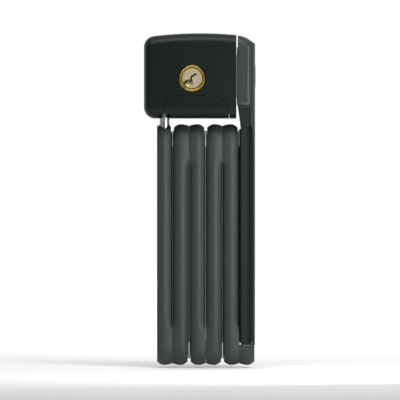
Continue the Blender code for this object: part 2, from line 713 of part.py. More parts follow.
def radial(name, n, profile, steps=10, looks=None):
    """A solid of revolution about pin n's axis: profile lists (distance from the plug's axis, radius)."""
    c, s = math.cos(PIN_ANGLE), math.sin(PIN_ANGLE)
    y = pin_station(n)
    rings = []
    for away, radius in profile:
        one = []
        for i in range(steps):
            t = 2 * math.pi * (i + 0.5) / steps
            across, along = radius * math.cos(t), radius * math.sin(t)
            one.append((CYLINDER_X + away * c - across * s, y + along, CYLINDER_Z + away * s + across * c))
        rings.append(one)
    return loft(name, rings, looks)


def keyway_outline():
    """The zig-zag keyway, as a band of even width along its bends."""
    bends = [(-4.2, -3.1), (-2.2, -1.1), (-0.7, -1.5), (-0.2, 0.8), (2.0, 1.9)]  # mm from the axis
    wide = KEYWAY_HALF / MM
    left, right = [], []
    for i, (u, v) in enumerate(bends):
        before, after = bends[max(i - 1, 0)], bends[min(i + 1, len(bends) - 1)]
        length = math.hypot(after[0] - before[0], after[1] - before[1])
        nu, nv = -(after[1] - before[1]) / length, (after[0] - before[0]) / length
        left.append((u + nu * wide, v + nv * wide))
        right.append((u - nu * wide, v - nv * wide))
    return [(CYLINDER_X + u * MM, CYLINDER_Z + v * MM) for u, v in left + right[::-1]]


def lead_in(name):
    """The cone that guides the key in, at the lower left of the keyway."""
    x, z = CYLINDER_X - 1.6 * MM, CYLINDER_Z - 1.6 * MM
    return turned(name, "Y", (x, z), [
        (CYLINDER_FRONT - 0.6 * MM, 3.1 * MM), (PLUG_FRONT + 1.7 * MM, 0.5 * MM),
    ], 24)


def cylinder():
    """The brass cylinder: housing with its chambers, turning plug, cam, pins and springs."""
    centre = (CYLINDER_X, CYLINDER_Z)
    outer, plug = CYLINDER_DIAMETER / 2, PLUG_DIAMETER / 2
    housing = turned("cylinder_housing", "Y", centre, [
        (CYLINDER_FRONT, outer - 0.3 * MM), (CYLINDER_FRONT + 0.3 * MM, outer), (CYLINDER_BACK, outer),
    ], 36, BRASS)
    boolean(housing, chamber_prism(
        "chamber_metal", 0.0, -BLOCK_HALF + 0.5 * MM, CYLINDER_BACK - 0.2 * MM), "UNION")
    boolean(housing, turned("plug_bore", "Y", centre, [
        (CYLINDER_FRONT - 0.1 * MM, plug + 1.0 * MM), (CYLINDER_FRONT + 0.75 * MM, plug + 0.15 * MM),
        (CYLINDER_BACK + PAST, plug + 0.15 * MM),
    ], 32))
    boolean(housing, lead_in("housing_lead_in"))
    turning = turned("cylinder_plug", "Y", centre, [
        (PLUG_FRONT, plug - 0.2 * MM), (PLUG_FRONT + 0.2 * MM, plug), (PLUG_BACK, plug),
    ], 32, BRASS)
    boolean(turning, prism(
        "keyway", "Y", keyway_outline(), PLUG_FRONT - PAST, pin_station(PIN_COUNT) + 1.6 * MM))
    boolean(turning, lead_in("plug_lead_in"))
    boolean(turning, turned("cam_screw_bore", "Y", centre, [
        (PLUG_BACK - 3.0 * MM, 1.1 * MM), (PLUG_BACK + PAST, 1.1 * MM),
    ], 12))
    for n in range(1, PIN_COUNT + 1):
        pin_stack(n, housing, turning)
    cam(centre)


def pin_stack(n, housing, turning):
    """One chamber: key pin up to the shear line, driver pin above it, and its spring."""
    plug, pin = PLUG_DIAMETER / 2, PIN_DIAMETER / 2
    bore = pin + 0.15 * MM
    boolean(turning, radial(f"plug_chamber_{n}", n, [(1.2 * MM, bore), (plug + PAST, bore)]))
    boolean(housing, radial(f"housing_chamber_{n}", n, [(plug - 1.0 * MM, bore), (CHAMBER_REACH + PAST, bore)]))
    tip = (1.9 + 0.3 * (n % 3)) * MM
    radial(f"key_pin_{n}", n, [
        (tip, 0.35 * MM), (tip + 0.7 * MM, pin), (plug - 0.35 * MM, pin), (plug - 0.15 * MM, pin - 0.25 * MM),
    ], 10, BRASS)
    radial(f"driver_pin_{n}", n, [
        (DRIVER_LOW, pin - 0.25 * MM), (DRIVER_LOW + 0.25 * MM, pin), (DRIVER_LOW + DRIVER_LENGTH, pin),
    ], 10, STEEL)
    c, s = math.cos(PIN_ANGLE), math.sin(PIN_ANGLE)
    start = (CYLINDER_X + SPRING_LOW * c, pin_station(n), CYLINDER_Z + SPRING_LOW * s)
    radius = PIN_DIAMETER / 2 - 0.18 * MM
    coil(f"pin_spring_{n}", start, (c, 0, s), (0, 1, 0), radius, 0.14 * MM, SPRING_LENGTH, 3, 7, STEEL)


def cam(centre):
    """The cam on the plug's back, with its crank pin, and the screw that holds it."""
    front = PLUG_BACK + GAP
    made = turned("cylinder_cam", "Y", centre, [(front, 4.2 * MM), (CAM_BACK, 4.2 * MM)], 24, STEEL)
    crank = turned("crank", "Y", (CRANK_X, CRANK_Z), [
        (CAM_BACK - 0.6 * MM, 1.0 * MM), (YOKE_BACK - 0.2 * MM, 1.0 * MM),
    ], 16)
    boolean(made, crank, "UNION")
    boolean(made, turned("cam_hole", "Y", centre, [
        (front - PAST, 1.1 * MM), (CAM_BACK + PAST, 1.1 * MM),
    ], 12))
    turned("cam_screw", "Y", centre, [
        (PLUG_BACK - 2.6 * MM, 0.8 * MM), (CAM_BACK + 0.2 * MM, 0.8 * MM), (CAM_BACK + 0.2 * MM, 1.6 * MM),
        (CAM_BACK + 1.0 * MM, 1.6 * MM),
    ], 12, STEEL)


def latch():
    """The sliding latch: a fork for the stub's neck, a flat foot, and a yoke that the crank moves."""
    foot_right = CRANK_X + 3.0 * MM
    made = block("latch", (LATCH_TIP, -LATCH_HALF, LATCH_LOW), (foot_right, YOKE_BACK, LATCH_HIGH), STEEL)
    corner = block(
        "latch_corner", (LATCH_TIP - PAST, LATCH_HALF, LATCH_LOW - PAST),
        (CRANK_X - 3.0 * MM, YOKE_BACK + PAST, LATCH_HIGH + PAST),
    )
    boolean(made, corner)
    neck = STUB_NECK_DIAMETER / 2 + SLIDE
    boolean(made, block(
        "fork_slot", (LATCH_TIP - PAST, -neck, LATCH_LOW - PAST),
        (LATCH_TIP + LATCH_TRAVEL + 0.1 * MM, neck, LATCH_HIGH + PAST),
    ))
    boolean(made, block(
        "yoke", (CRANK_X - 3.0 * MM, YOKE_FRONT, LATCH_LOW + 0.4 * MM),
        (foot_right, YOKE_BACK, CRANK_Z + 0.3 * MM),
    ), "UNION")
    half = 1.0 * MM + SLIDE
    boolean(made, block(
        "yoke_slot", (CRANK_X - half, YOKE_FRONT - PAST, CRANK_Z - 2.3 * MM),
        (CRANK_X + half, YOKE_BACK + PAST, CRANK_Z + PAST),
    ))
    start = (foot_right + 0.15 * MM, 0.0, (LATCH_LOW + LATCH_HIGH) / 2)
    coil("latch_spring", start, (1, 0, 0), (0, 1, 0), 0.75 * MM, 0.16 * MM, 6.2 * MM, 5, 7, STEEL)


def lock_pivot():
    """The pivot pin with its flat outer head, the washer in the slit and the nut inside the block."""
    shaft, head = PIVOT_DIAMETER / 2, PIVOT_HEAD_DIAMETER / 2
    nut_left, nut_right = nut_places()
    face = COVER_RIGHT - 0.6 * MM
    turned("pivot_pin", "X", (0, LOCK_PIVOT), [
        (nut_left + 0.2 * MM, 2.4 * MM), (nut_right + 0.4 * MM, 2.4 * MM), (nut_right + 0.4 * MM, shaft),
        (face, shaft), (face, head), (COVER_RIGHT + 0.05 * MM, head),
        (COVER_RIGHT + 0.25 * MM, head - 0.45 * MM),
    ], 28, STEEL)
    ring(
        "pivot_washer", "X", (0, LOCK_PIVOT), WASHER_DIAMETER / 2, shaft + GAP,
        LOCK_RIGHT + 0.12 * MM, LOCK_RIGHT + 0.12 * MM + WASHER_THICK, 32, NYLON,
    )
    hexagon = math.cos(math.radians(30))
    ring(
        "pivot_nut", "X", (0, LOCK_PIVOT), 4.4 * MM, (2.4 * MM + GAP) / hexagon, nut_left, nut_right, 6,
        STEEL,
    )


def cover_screws():
    for n, (x, z) in enumerate(screw_places(), 1):
        radius = SCREW_DIAMETER / 2
        face = LOCK_HALF - 1.0 * MM + 0.1 * MM
        made = turned(f"cover_screw_{n}", "Y", (x, z), [
            (BLOCK_HALF - PLATE_THICK - 5.0 * MM, radius), (face, radius), (face, 2 * radius),
            (LOCK_HALF - 0.4 * MM, 2 * radius), (LOCK_HALF - 0.2 * MM, 1.7 * radius),
        ], 16, STEEL)
        socket = turned(f"screw_{n}_hex", "Y", (x, z), [
            (face + 0.3 * MM, 1.1 * MM), (LOCK_HALF + PAST, 1.1 * MM),
        ], 6)
        boolean(made, socket)


def main():
    clear_scene()
    lock_covers()
    lock_block()
    cylinder()
    latch()
    lock_pivot()
    cover_screws()
    long_bar()
    rivets()
    short_bars()
    locking_stub()


main()
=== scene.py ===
"""Folding bicycle lock: finished surfaces and materials round the packed part."""

import math

import bpy
import numpy as np
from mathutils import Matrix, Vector


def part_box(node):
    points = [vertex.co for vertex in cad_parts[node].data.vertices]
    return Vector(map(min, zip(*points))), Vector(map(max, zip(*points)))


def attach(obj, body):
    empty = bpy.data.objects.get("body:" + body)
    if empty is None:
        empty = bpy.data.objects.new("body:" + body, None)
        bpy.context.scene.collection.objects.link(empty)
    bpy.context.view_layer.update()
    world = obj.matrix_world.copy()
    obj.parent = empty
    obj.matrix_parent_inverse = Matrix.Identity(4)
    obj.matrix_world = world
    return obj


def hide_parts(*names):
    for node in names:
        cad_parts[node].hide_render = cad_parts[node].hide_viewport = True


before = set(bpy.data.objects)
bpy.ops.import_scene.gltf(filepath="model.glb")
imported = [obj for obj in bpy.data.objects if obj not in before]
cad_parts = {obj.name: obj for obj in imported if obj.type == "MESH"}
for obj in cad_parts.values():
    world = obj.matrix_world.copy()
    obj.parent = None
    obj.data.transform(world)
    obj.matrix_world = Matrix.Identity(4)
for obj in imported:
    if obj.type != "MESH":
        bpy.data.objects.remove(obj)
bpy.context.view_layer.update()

bl_info = {
    "name": "Folding Bicycle Lock",
    "version": (1, 0, 0),
    "blender": (4, 5, 0),
    "location": "View3D > Sidebar > Folding Lock",
    "description": "Surfaces, materials and studio for a six-bar folding bicycle lock",
    "category": "Add Mesh",
}

MM = 0.001
SHORT_BARS = 5
PINS = 5
SCREWS = 3
PAST = 2.0 * MM  # how far a cutter reaches past what it cuts
BUILT = {}


def middle(node):
    low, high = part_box(node)
    return [(a + b) / 2 for a, b in zip(low, high)]


# Places read from the frame.
COLUMN = [middle(f"bar_{n}_core")[0] for n in range(1, SHORT_BARS + 1)]
COLUMN.append(middle("long_bar_core")[0])
LOW_PIVOT, HIGH_PIVOT = middle("rivet_1")[2], middle("rivet_2")[2]
BAR_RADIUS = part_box("bar_2_jacket")[1][1]
PITCH = COLUMN[1] - COLUMN[0]
LOCK_LOW, LOCK_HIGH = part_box("lock_cover_front")
LOCK_LEFT, LOCK_RIGHT = LOCK_LOW[0], LOCK_HIGH[0]
LOCK_BOTTOM, LOCK_TOP = LOCK_LOW[2], LOCK_HIGH[2]
LOCK_HALF = -LOCK_LOW[1]
COVER_LOW, COVER_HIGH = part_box("long_bar_cover")
KEY_X, KEY_Z = middle("cylinder_plug")[0], middle("cylinder_plug")[2]
PIVOT_Z = middle("pivot_washer")[2]
STUB_LOW, STUB_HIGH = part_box("locking_stub")
STUB_X, STUB_TOP = middle("locking_stub")[0], STUB_HIGH[2]
STUB_RADIUS = (STUB_HIGH[0] - STUB_LOW[0]) / 2
STUB_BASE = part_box("bar_1_core")[1][2]


def length_prop(name, description, default):
    return bpy.props.FloatProperty(
        name=name, description=description, default=default, min=0.0, unit="LENGTH", precision=5
    )


def colour_prop(name, description, default):
    return bpy.props.FloatVectorProperty(
        name=name, description=description, default=default, size=3, min=0.0, max=1.0, subtype="COLOR"
    )


class BarSettings(bpy.types.PropertyGroup):
    """Jackets of the bars."""
    thick: length_prop("Thickness", "Jacket across its two broad sides", 6.25 * MM)
    crown: length_prop("Crown", "Fall of the rim towards a free side", 1.55 * MM)
    joined_crown: length_prop("Joined crown", "Fall of the rim towards a linked side", 0.80 * MM)
    squared: bpy.props.FloatProperty(
        name="Squared end", description="Share of the crown left out over the open end", default=0.75
    )
    gap: length_prop("Gap", "Between the pads and ribs of neighbouring bars", 0.05 * MM)
    rib: length_prop("Rib", "Half width of the low rib along each side", 3.3 * MM)
    pad_end: length_prop("Pad end", "The pad keeps its height this far from a pivot", 8.6 * MM)
    pad_run: length_prop("Pad run-out", "Length over which a pad fades", 2.6 * MM)
    colour: colour_prop("Colour", "Charcoal plastic", (0.033, 0.038, 0.038))


class BodySettings(bpy.types.PropertyGroup):
    """Covers of the lock body and of the long bar."""
    wall: length_prop("Wall", "Thickness of the cover shells", 1.8 * MM)
    edge: length_prop("Edge", "Rounding from the front to the top and bottom", 4.9 * MM)
    side_edge: length_prop("Side edge", "Rounding from the front to the left side", 3.0 * MM)
    corner: length_prop("Corner", "Corner radius seen from the front", 5.0 * MM)
    arch: length_prop("Arch", "Rise of the arched top", 1.25 * MM)
    head_drop: length_prop("Head drop", "Fall of the long bar's top towards its outer side", 3.9 * MM)
    head_side_edge: length_prop("Head edge", "Rounding from the long bar's front to its side", 3.4 * MM)
    seam: length_prop("Seam", "Gap between neighbouring covers", 0.3 * MM)
    lip: length_prop("Lip", "Rounding along seams and openings", 0.28 * MM)
    colour: colour_prop("Colour", "Black moulded plastic", (0.0026, 0.0066, 0.0062))
    long_colour: colour_prop("Long bar", "The long bar's cover, a little lighter", (0.019, 0.024, 0.024))


class MetalSettings(bpy.types.PropertyGroup):
    """Brass and steel."""
    face: colour_prop("Plug face", "Pale turned brass", (0.60, 0.54, 0.36))
    rim: colour_prop("Rim", "Golden brass of the cylinder's rim", (0.62, 0.42, 0.10))
    steel: colour_prop("Steel", "Polished hardened steel", (0.86, 0.87, 0.88))
    dark: colour_prop("Dark steel", "Blackened fasteners", (0.10, 0.105, 0.11))
    bar: colour_prop("Bar steel", "Cores of the bars and parts of the mechanism", (0.42, 0.43, 0.44))
    # The block's dark colour is partly painted shade: it darkens the seam gap through which the block
    # shows.
    block: colour_prop("Block", "Cast block and back plate", (0.10, 0.10, 0.105))
    wire: colour_prop("Wire", "Springs", (0.50, 0.50, 0.50))
    nylon: colour_prop("Nylon", "Milky washer", (0.55, 0.56, 0.55))


class StageSettings(bpy.types.PropertyGroup):
    """Camera and studio."""
    view_width: length_prop("View width", "Width of the view at the lock's front face", 0.180)
    lens: bpy.props.FloatProperty(name="Lens", description="Focal length in millimetres", default=500.0)
    front: bpy.props.FloatProperty(
        name="Front", description="World's strength before the lock", default=0.05
    )
    aim_x: length_prop("Aim X", "Sideways centre of the view", 0.22 * MM)
    aim_z: length_prop("Aim Z", "Height of the centre of the view", 74.8 * MM)


# Shader maths ------------------------------------------------------------------------------------


class Wire:
    """A socket in a node tree, with the arithmetic operators adding Math nodes."""

    def __init__(self, tree, socket):
        self.tree, self.socket = tree, socket

    def math(self, operation, *values):
        return self.tree.node("ShaderNodeMath", {"operation": operation}, dict(enumerate(values)))

    def __add__(self, other):
        return self.math("ADD", self, other)

    def __radd__(self, other):
        return self.math("ADD", other, self)

    def __sub__(self, other):
        return self.math("SUBTRACT", self, other)

    def __rsub__(self, other):
        return self.math("SUBTRACT", other, self)

    def __mul__(self, other):
        return self.math("MULTIPLY", self, other)

    def __rmul__(self, other):
        return self.math("MULTIPLY", other, self)

    def __truediv__(self, other):
        return self.math("DIVIDE", self, other)

    def __pow__(self, other):
        return self.math("POWER", self, other)

    def below(self, limit):
        return self.math("LESS_THAN", self, limit)


class Paint:
    def __init__(self, name, colour, roughness, metallic=0.0, **constants):
        self.material = bpy.data.materials.new(name)
        self.material.use_nodes = True
        self.nodes, self.links = self.material.node_tree.nodes, self.material.node_tree.links
        self.shader = self.nodes["Principled BSDF"]
        self.set("Base Color", (*colour, 1.0))
        self.set("Roughness", roughness)
        self.set("Metallic", metallic)
        for socket, value in constants.items():
            self.set(socket.replace("_", " "), value)
        self.place = self.node("ShaderNodeTexCoord", {}, {}, "Object")

    def node(self, kind, settings, values, output=0):
        """Adds a node: settings first, then values or links of its sockets. Returns one output."""
        made = self.nodes.new(kind)
        for key, value in settings.items():
            setattr(made, key, value)
        for key, value in values.items():
            if isinstance(value, Wire):
                self.links.new(value.socket, made.inputs[key])
            else:
                made.inputs[key].default_value = value
        return Wire(self, made.outputs[output])

    def set(self, socket, value):
        if isinstance(value, Wire):
            self.links.new(value.socket, self.shader.inputs[socket])
        else:
            self.shader.inputs[socket].default_value = value

    def noise(self, scale, detail=2.0, rough=0.5, stretch=None, output="Fac"):
        place = self.place
        if stretch:
            place = self.node("ShaderNodeMapping", {}, {"Vector": place, "Scale": stretch})
        values = {"Vector": place, "Scale": scale, "Detail": detail, "Roughness": rough}
        return self.node("ShaderNodeTexNoise", {}, values, output)

    def mix(self, share, first, second):
        values = {0: share, 6: first, 7: second}
        return self.node("ShaderNodeMix", {"data_type": "RGBA"}, values, 2)

    def bump(self, height, strength, distance, under=None):
        values = {"Height": height, "Strength": strength, "Distance": distance}
        if under is not None:
            values["Normal"] = under
        return self.node("ShaderNodeBump", {}, values)

    def radius_from(self, centre, axes):
        """Distance from an axis through centre, measured in the two named directions."""
        away = self.node("ShaderNodeVectorMath", {"operation": "SUBTRACT"}, {0: self.place, 1: centre})
        parts = [self.node("ShaderNodeSeparateXYZ", {}, {0: away}, axis) for axis in axes]
        return (parts[0] * parts[0] + parts[1] * parts[1]) ** 0.5


GRAIN_HEIGHT = 0.03 * MM
HAIR_HEIGHT = 0.02 * MM


def rgba(colour, gain=1.0):
    return (*[min(1.0, c * gain) for c in colour], 1.0)


def mottled(paint, colour):
    """Faint flow mottling. Returns its mask and the colour that it makes."""
    mottle = paint.noise(130.0, 3.0, 0.55)
    return mottle, paint.mix(mottle, rgba(colour, 0.86), rgba(colour, 1.16))


def moulded_plastic(name, colour, roughness, grain, depth, shine=0.32):
    """Moulded plastic: fine spark grain, faint flow mottling, slightly uneven gloss."""
    paint = Paint(name, colour, roughness, Specular_IOR_Level=shine)
    mottle, mixed = mottled(paint, colour)
    specks = paint.noise(grain, 2.0, 0.6)
    paint.set("Base Color", mixed)
    paint.set("Roughness", roughness - 0.05 + 0.07 * mottle + 0.05 * specks)
    coarse = paint.bump(mottle, 0.05, 0.2 * MM)
    paint.set("Normal", paint.bump(specks, depth, GRAIN_HEIGHT, coarse))
    return paint.material


def long_plastic(name, covers, roughness, grain, depth):
    """The long bar's plastic, with the covers' black and a duller gloss left of the strip's edge and
    below the head's pad, partly a black part and partly painted shade of the recessed channel.
    """
    paint = Paint(name, covers.long_colour, roughness, Specular_IOR_Level=0.32)
    x, z = (paint.node("ShaderNodeSeparateXYZ", {}, {0: paint.place}, axis) for axis in "XZ")
    shaded_channel = x.below(COVER_HIGH[0] - 1.75 * MM) * z.below(LOCK_BOTTOM + 6.1 * MM)
    mottle, mixed = mottled(paint, covers.long_colour)
    specks = paint.noise(grain, 2.0, 0.6)
    # Painted shade: left of the strip and below the head the colour turns to the covers' black, standing
    # partly for a black part and partly for the recessed channel's shade.
    paint.set("Base Color", paint.mix(shaded_channel, mixed, rgba(covers.colour)))
    paint.set("Roughness", roughness - 0.05 + 0.07 * mottle + 0.05 * specks + 0.25 * shaded_channel)
    paint.set("Normal", paint.bump(specks, depth, GRAIN_HEIGHT))
    return paint.material


def turned_brass(name, colour, centre, roughness, rings):
    """Lathe-turned brass: fine rings about the key axis, with a little tarnish."""
    paint = Paint(name, colour, roughness, 1.0)
    away = paint.radius_from(centre, ("X", "Z"))
    turns = away * (2 * math.pi * rings)
    wave = turns.math("SINE", turns)
    tarnish = paint.noise(420.0, 4.0, 0.6)
    paint.set("Base Color", paint.mix(tarnish, rgba(colour, 0.84), rgba(colour, 1.1)))
    paint.set("Roughness", roughness - 0.04 + 0.12 * tarnish)
    paint.set("Normal", paint.bump(wave, 0.10, HAIR_HEIGHT))
    return paint.material


def drawn_steel(name, colour, roughness, stretch):
    """Steel with hairlines along one direction."""
    paint = Paint(name, colour, roughness, 1.0)
    hairs = paint.noise(900.0, 2.0, 0.6, stretch)
    cloud = paint.noise(160.0, 2.0, 0.5)
    paint.set("Base Color", paint.mix(cloud, rgba(colour, 0.88), rgba(colour, 1.08)))
    paint.set("Roughness", roughness - 0.03 + 0.08 * hairs)
    paint.set("Normal", paint.bump(hairs, 0.06, HAIR_HEIGHT))
    return paint.material


def washer_nylon(colour):
    """Milky nylon, slightly scuffed, with a painted glow that makes it show light grey in its shadowed
    slit.
    """
    paint = Paint("washer_nylon", colour, 0.5)
    scuffs = paint.noise(700.0, 3.0, 0.6)
    paint.set("Base Color", paint.mix(scuffs, rgba(colour, 0.9), rgba(colour, 1.08)))
    paint.set("Roughness", 0.42 + 0.16 * scuffs)
    # Painted light: a faint glow in the washer's own colour, so it does not sit dark in its narrow slit.
    paint.set("Emission Color", rgba(colour))
    paint.set("Emission Strength", 0.4)
    return paint.material


def finishes():
    """Every material by its plain name, made once."""
    if BUILT:
        return BUILT
    scene, key, even = bpy.context.scene, (KEY_X, 0.0, KEY_Z), (1.0, 1.0, 1.0)
    bars, covers, metal = scene.lock_bars, scene.lock_covers, scene.lock_metal
    BUILT["jacket"] = moulded_plastic("bar_jacket_plastic", bars.colour, 0.50, 5200.0, 0.16)
    BUILT["cover"] = moulded_plastic("cover_plastic", covers.colour, 0.38, 7000.0, 0.10, 0.20)
    BUILT["long"] = long_plastic("long_cover_plastic", covers, 0.42, 7000.0, 0.10)
    BUILT["face"] = turned_brass("plug_brass", metal.face, key, 0.38, 5200.0)
    BUILT["rim"] = turned_brass("rim_brass", metal.rim, key, 0.26, 4200.0)
    BUILT["polished"] = drawn_steel("stub_steel", metal.steel, 0.2, (1.0, 1.0, 6.0))
    BUILT["dark"] = drawn_steel("dark_steel", metal.dark, 0.42, even)
    BUILT["steel"] = drawn_steel("bar_steel", metal.bar, 0.34, (6.0, 1.0, 0.4))
    BUILT["block"] = drawn_steel("block_steel", metal.block, 0.5, even)
    BUILT["wire"] = drawn_steel("spring_wire", metal.wire, 0.25, (3.0, 3.0, 3.0))
    BUILT["nylon"] = washer_nylon(metal.nylon)
    return BUILT


# Surfaces ----------------------------------------------------------------------------------------


def sheet_faces(rows, columns):
    """Quads of a grid whose columns close on themselves, as index rows."""
    r, c = np.meshgrid(np.arange(rows - 1), np.arange(columns), indexing="ij")
    right = (c + 1) % columns
    here, next_row = r * columns, (r + 1) * columns
    quads = np.stack([here + c, here + right, next_row + right, next_row + c])
    return quads.reshape(4, -1).T.tolist()


def mesh_piece(name, points, faces):
    """An object at the origin from world points, its faces turned outwards."""
    mesh = bpy.data.meshes.new(name)
    mesh.from_pydata(points.reshape(-1, 3).tolist(), [], faces)
    mesh.update()
    made = bpy.data.objects.new(name, mesh)
    bpy.context.scene.collection.objects.link(made)
    if signed_volume(mesh) < 0:
        mesh.flip_normals()
    return made


def signed_volume(mesh):
    """Six times the enclosed volume, negative when the faces point inwards."""
    mesh.calc_loop_triangles()
    points = np.empty(len(mesh.vertices) * 3)
    mesh.vertices.foreach_get("co", points)
    corners = np.empty(len(mesh.loop_triangles) * 3, int)
    mesh.loop_triangles.foreach_get("vertices", corners)
    a, b, c = points.reshape(-1, 3)[corners.reshape(-1, 3)].transpose(1, 0, 2)
    return float(np.einsum("ij,ij->", a, np.cross(b, c)))


def loft(name, grid):
    """Skin through the rows of a grid of points, closed round its columns and filled at both ends."""
    rows, columns = grid.shape[:2]
    faces = sheet_faces(rows, columns)
    faces.append(list(range(columns))[::-1])
    faces.append(list(range((rows - 1) * columns, rows * columns)))
    return mesh_piece(name, grid, faces)


def across(axis, plane, along):
    """World points from plane points (u, v) and a place along an axis."""
    u, v = plane[..., 0], plane[..., 1]
    w = np.broadcast_to(along, u.shape)
    order = {"X": (w, u, v), "Y": (u, w, v), "Z": (u, v, w)}[axis]
    return np.stack(order, -1)


def prism(name, axis, outline, low, high):
    """An outline carried straight along an axis."""
    return loft(name, np.stack([across(axis, outline, low), across(axis, outline, high)]))


def turned(name, axis, centre, profile, steps=64):
    """A profile of (place along the axis, radius) turned about an axis through centre."""
    along, radius = np.array(profile, float).T
    t = 2 * np.pi * np.arange(steps) / steps
    ring = np.stack([np.cos(t), np.sin(t)], -1)
    plane = np.array(centre) + radius[:, None, None] * ring[None]
    return loft(name, across(axis, plane, along[:, None]))


def box_piece(name, low, high):
    outline = np.array([(low[0], low[1]), (high[0], low[1]), (high[0], high[1]), (low[0], high[1])])
    return prism(name, "Z", outline, low[2], high[2])


def arc(centre, radius, start, end, steps):
    a = np.radians(np.linspace(start, end, steps))
    return np.stack([centre[0] + radius * np.cos(a), centre[1] + radius * np.sin(a)], -1)


def rounded(corners, segments=14):
    """An outline whose corners (u, v, radius) become arcs tangent to both their sides."""
    outline = []
    for i, (u, v, radius) in enumerate(corners):
        if not radius:
            outline.append([(u, v)])
            continue
        here = np.array((u, v))
        back = np.array(corners[i - 1][:2]) - here
        on = np.array(corners[(i + 1) % len(corners)][:2]) - here
        back, on = back / np.linalg.norm(back), on / np.linalg.norm(on)
        half = math.acos(float(np.clip(back @ on, -1, 1))) / 2
        way = (back + on) / np.linalg.norm(back + on)
        centre = here + way * radius / math.sin(half)
        first = here + back * radius / math.tan(half) - centre
        last = here + on * radius / math.tan(half) - centre
        a = math.atan2(first[1], first[0])
        sweep = (math.atan2(last[1], last[0]) - a + math.pi) % (2 * math.pi) - math.pi
        outline.append(arc(centre, radius, math.degrees(a), math.degrees(a + sweep), segments + 1))
    return np.concatenate(outline)


def offsets(outline):
    """Outward normals of a counter-clockwise outline, stretched so that offsets keep their distance."""
    back, on = outline - np.roll(outline, 1, 0), np.roll(outline, -1, 0) - outline

    def side(step):
        step = step / np.linalg.norm(step, axis=1, keepdims=True)
        return np.stack([step[:, 1], -step[:, 0]], -1)

    first, second = side(back), side(on)
    return (first + second) / (1 + (first * second).sum(1, keepdims=True))


def cut(target, *cutters, operation="DIFFERENCE"):
    """Cuts the pieces out of the target, one after another, and removes them."""
    for cutter in cutters:
        step = target.modifiers.new(cutter.name, "BOOLEAN")
        step.operation, step.solver, step.object = operation, "EXACT", cutter
        settle(target)
        bpy.data.objects.remove(cutter, do_unlink=True)
    return target


def settle(piece):
    """Puts the piece's modifiers into its mesh."""
    graph = bpy.context.evaluated_depsgraph_get()
    mesh = bpy.data.meshes.new_from_object(piece.evaluated_get(graph))
    old = piece.data
    piece.modifiers.clear()
    piece.data = mesh
    mesh.name = piece.name
    bpy.data.meshes.remove(old)
    return piece


def soften(piece, width, angle=50.0, segments=2):
    """Rounds the sharp edges left by the cuts."""
    step = piece.modifiers.new("lip", "BEVEL")
    step.width, step.segments = width, segments
    step.limit_method, step.angle_limit = "ANGLE", math.radians(angle)
    step.use_clamp_overlap = True
    return settle(piece)


def smooth(piece, angle=32.0):
    """Smooth shading but for the sharp edges, with normals that keep the broad faces flat."""
    piece.data.shade_smooth()
    piece.data.set_sharp_from_angle(angle=math.radians(angle))
    step = piece.modifiers.new("flat_faces", "WEIGHTED_NORMAL")
    step.mode, step.weight, step.keep_sharp = "FACE_AREA", 90, True
    return settle(piece)


def hand_over(piece, material, body, nodes):
    """The piece gets its material, rides on its body and stands for its nodes."""
    piece.data.materials.clear()
    piece.data.materials.append(material)
    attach(piece, body)
    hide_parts(*nodes)
    return piece


def numbered(name, count):
    """The names that a pattern makes with the numbers from 1 to count."""
    return [name.format(n) for n in range(1, count + 1)]


def dress(material, *nodes):
    """Gives packed nodes that stay as they are their finished material."""
    for name in nodes:
        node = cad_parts[name]
        node.data.materials.clear()
        node.data.materials.append(material)


# Bars --------------------------------------------------------------------------------------------


# Rings of the step from a bar's side up to its rib: share of the height, and place outside the rib.
RIB_RISE = np.array([0.0, 0.04, 0.5, 0.96, 1.0])
RIB_STEP = np.array([1.6, 0.9, 0.5, 0.1, 0.0]) * MM
RIVET_ROOM = 0.35 * MM
RIVET_SEAT = 0.72 * MM
RIVET_SHAFT = 2.5 * MM
STUB_ROOM = 0.3 * MM
FOOT_HALF = 6.3 * MM
JACKET_LIP = 0.12 * MM


def pivots_of(n):
    """Heights of the pivots on the left and right side of column n, counted from 1."""
    own, other = (LOW_PIVOT, HIGH_PIVOT) if n % 2 else (HIGH_PIVOT, LOW_PIVOT)
    return [other] if n > 1 else [], [own] if n <= SHORT_BARS else []


def near(z, pivots, settings):
    """1 round a pivot, fading to 0 over the pad's run-out."""
    if not pivots:
        return np.zeros_like(z)
    away = np.min([np.abs(z - p) for p in pivots], axis=0)
    return np.clip((settings.pad_end + settings.pad_run - away) / settings.pad_run, 0.0, 1.0)


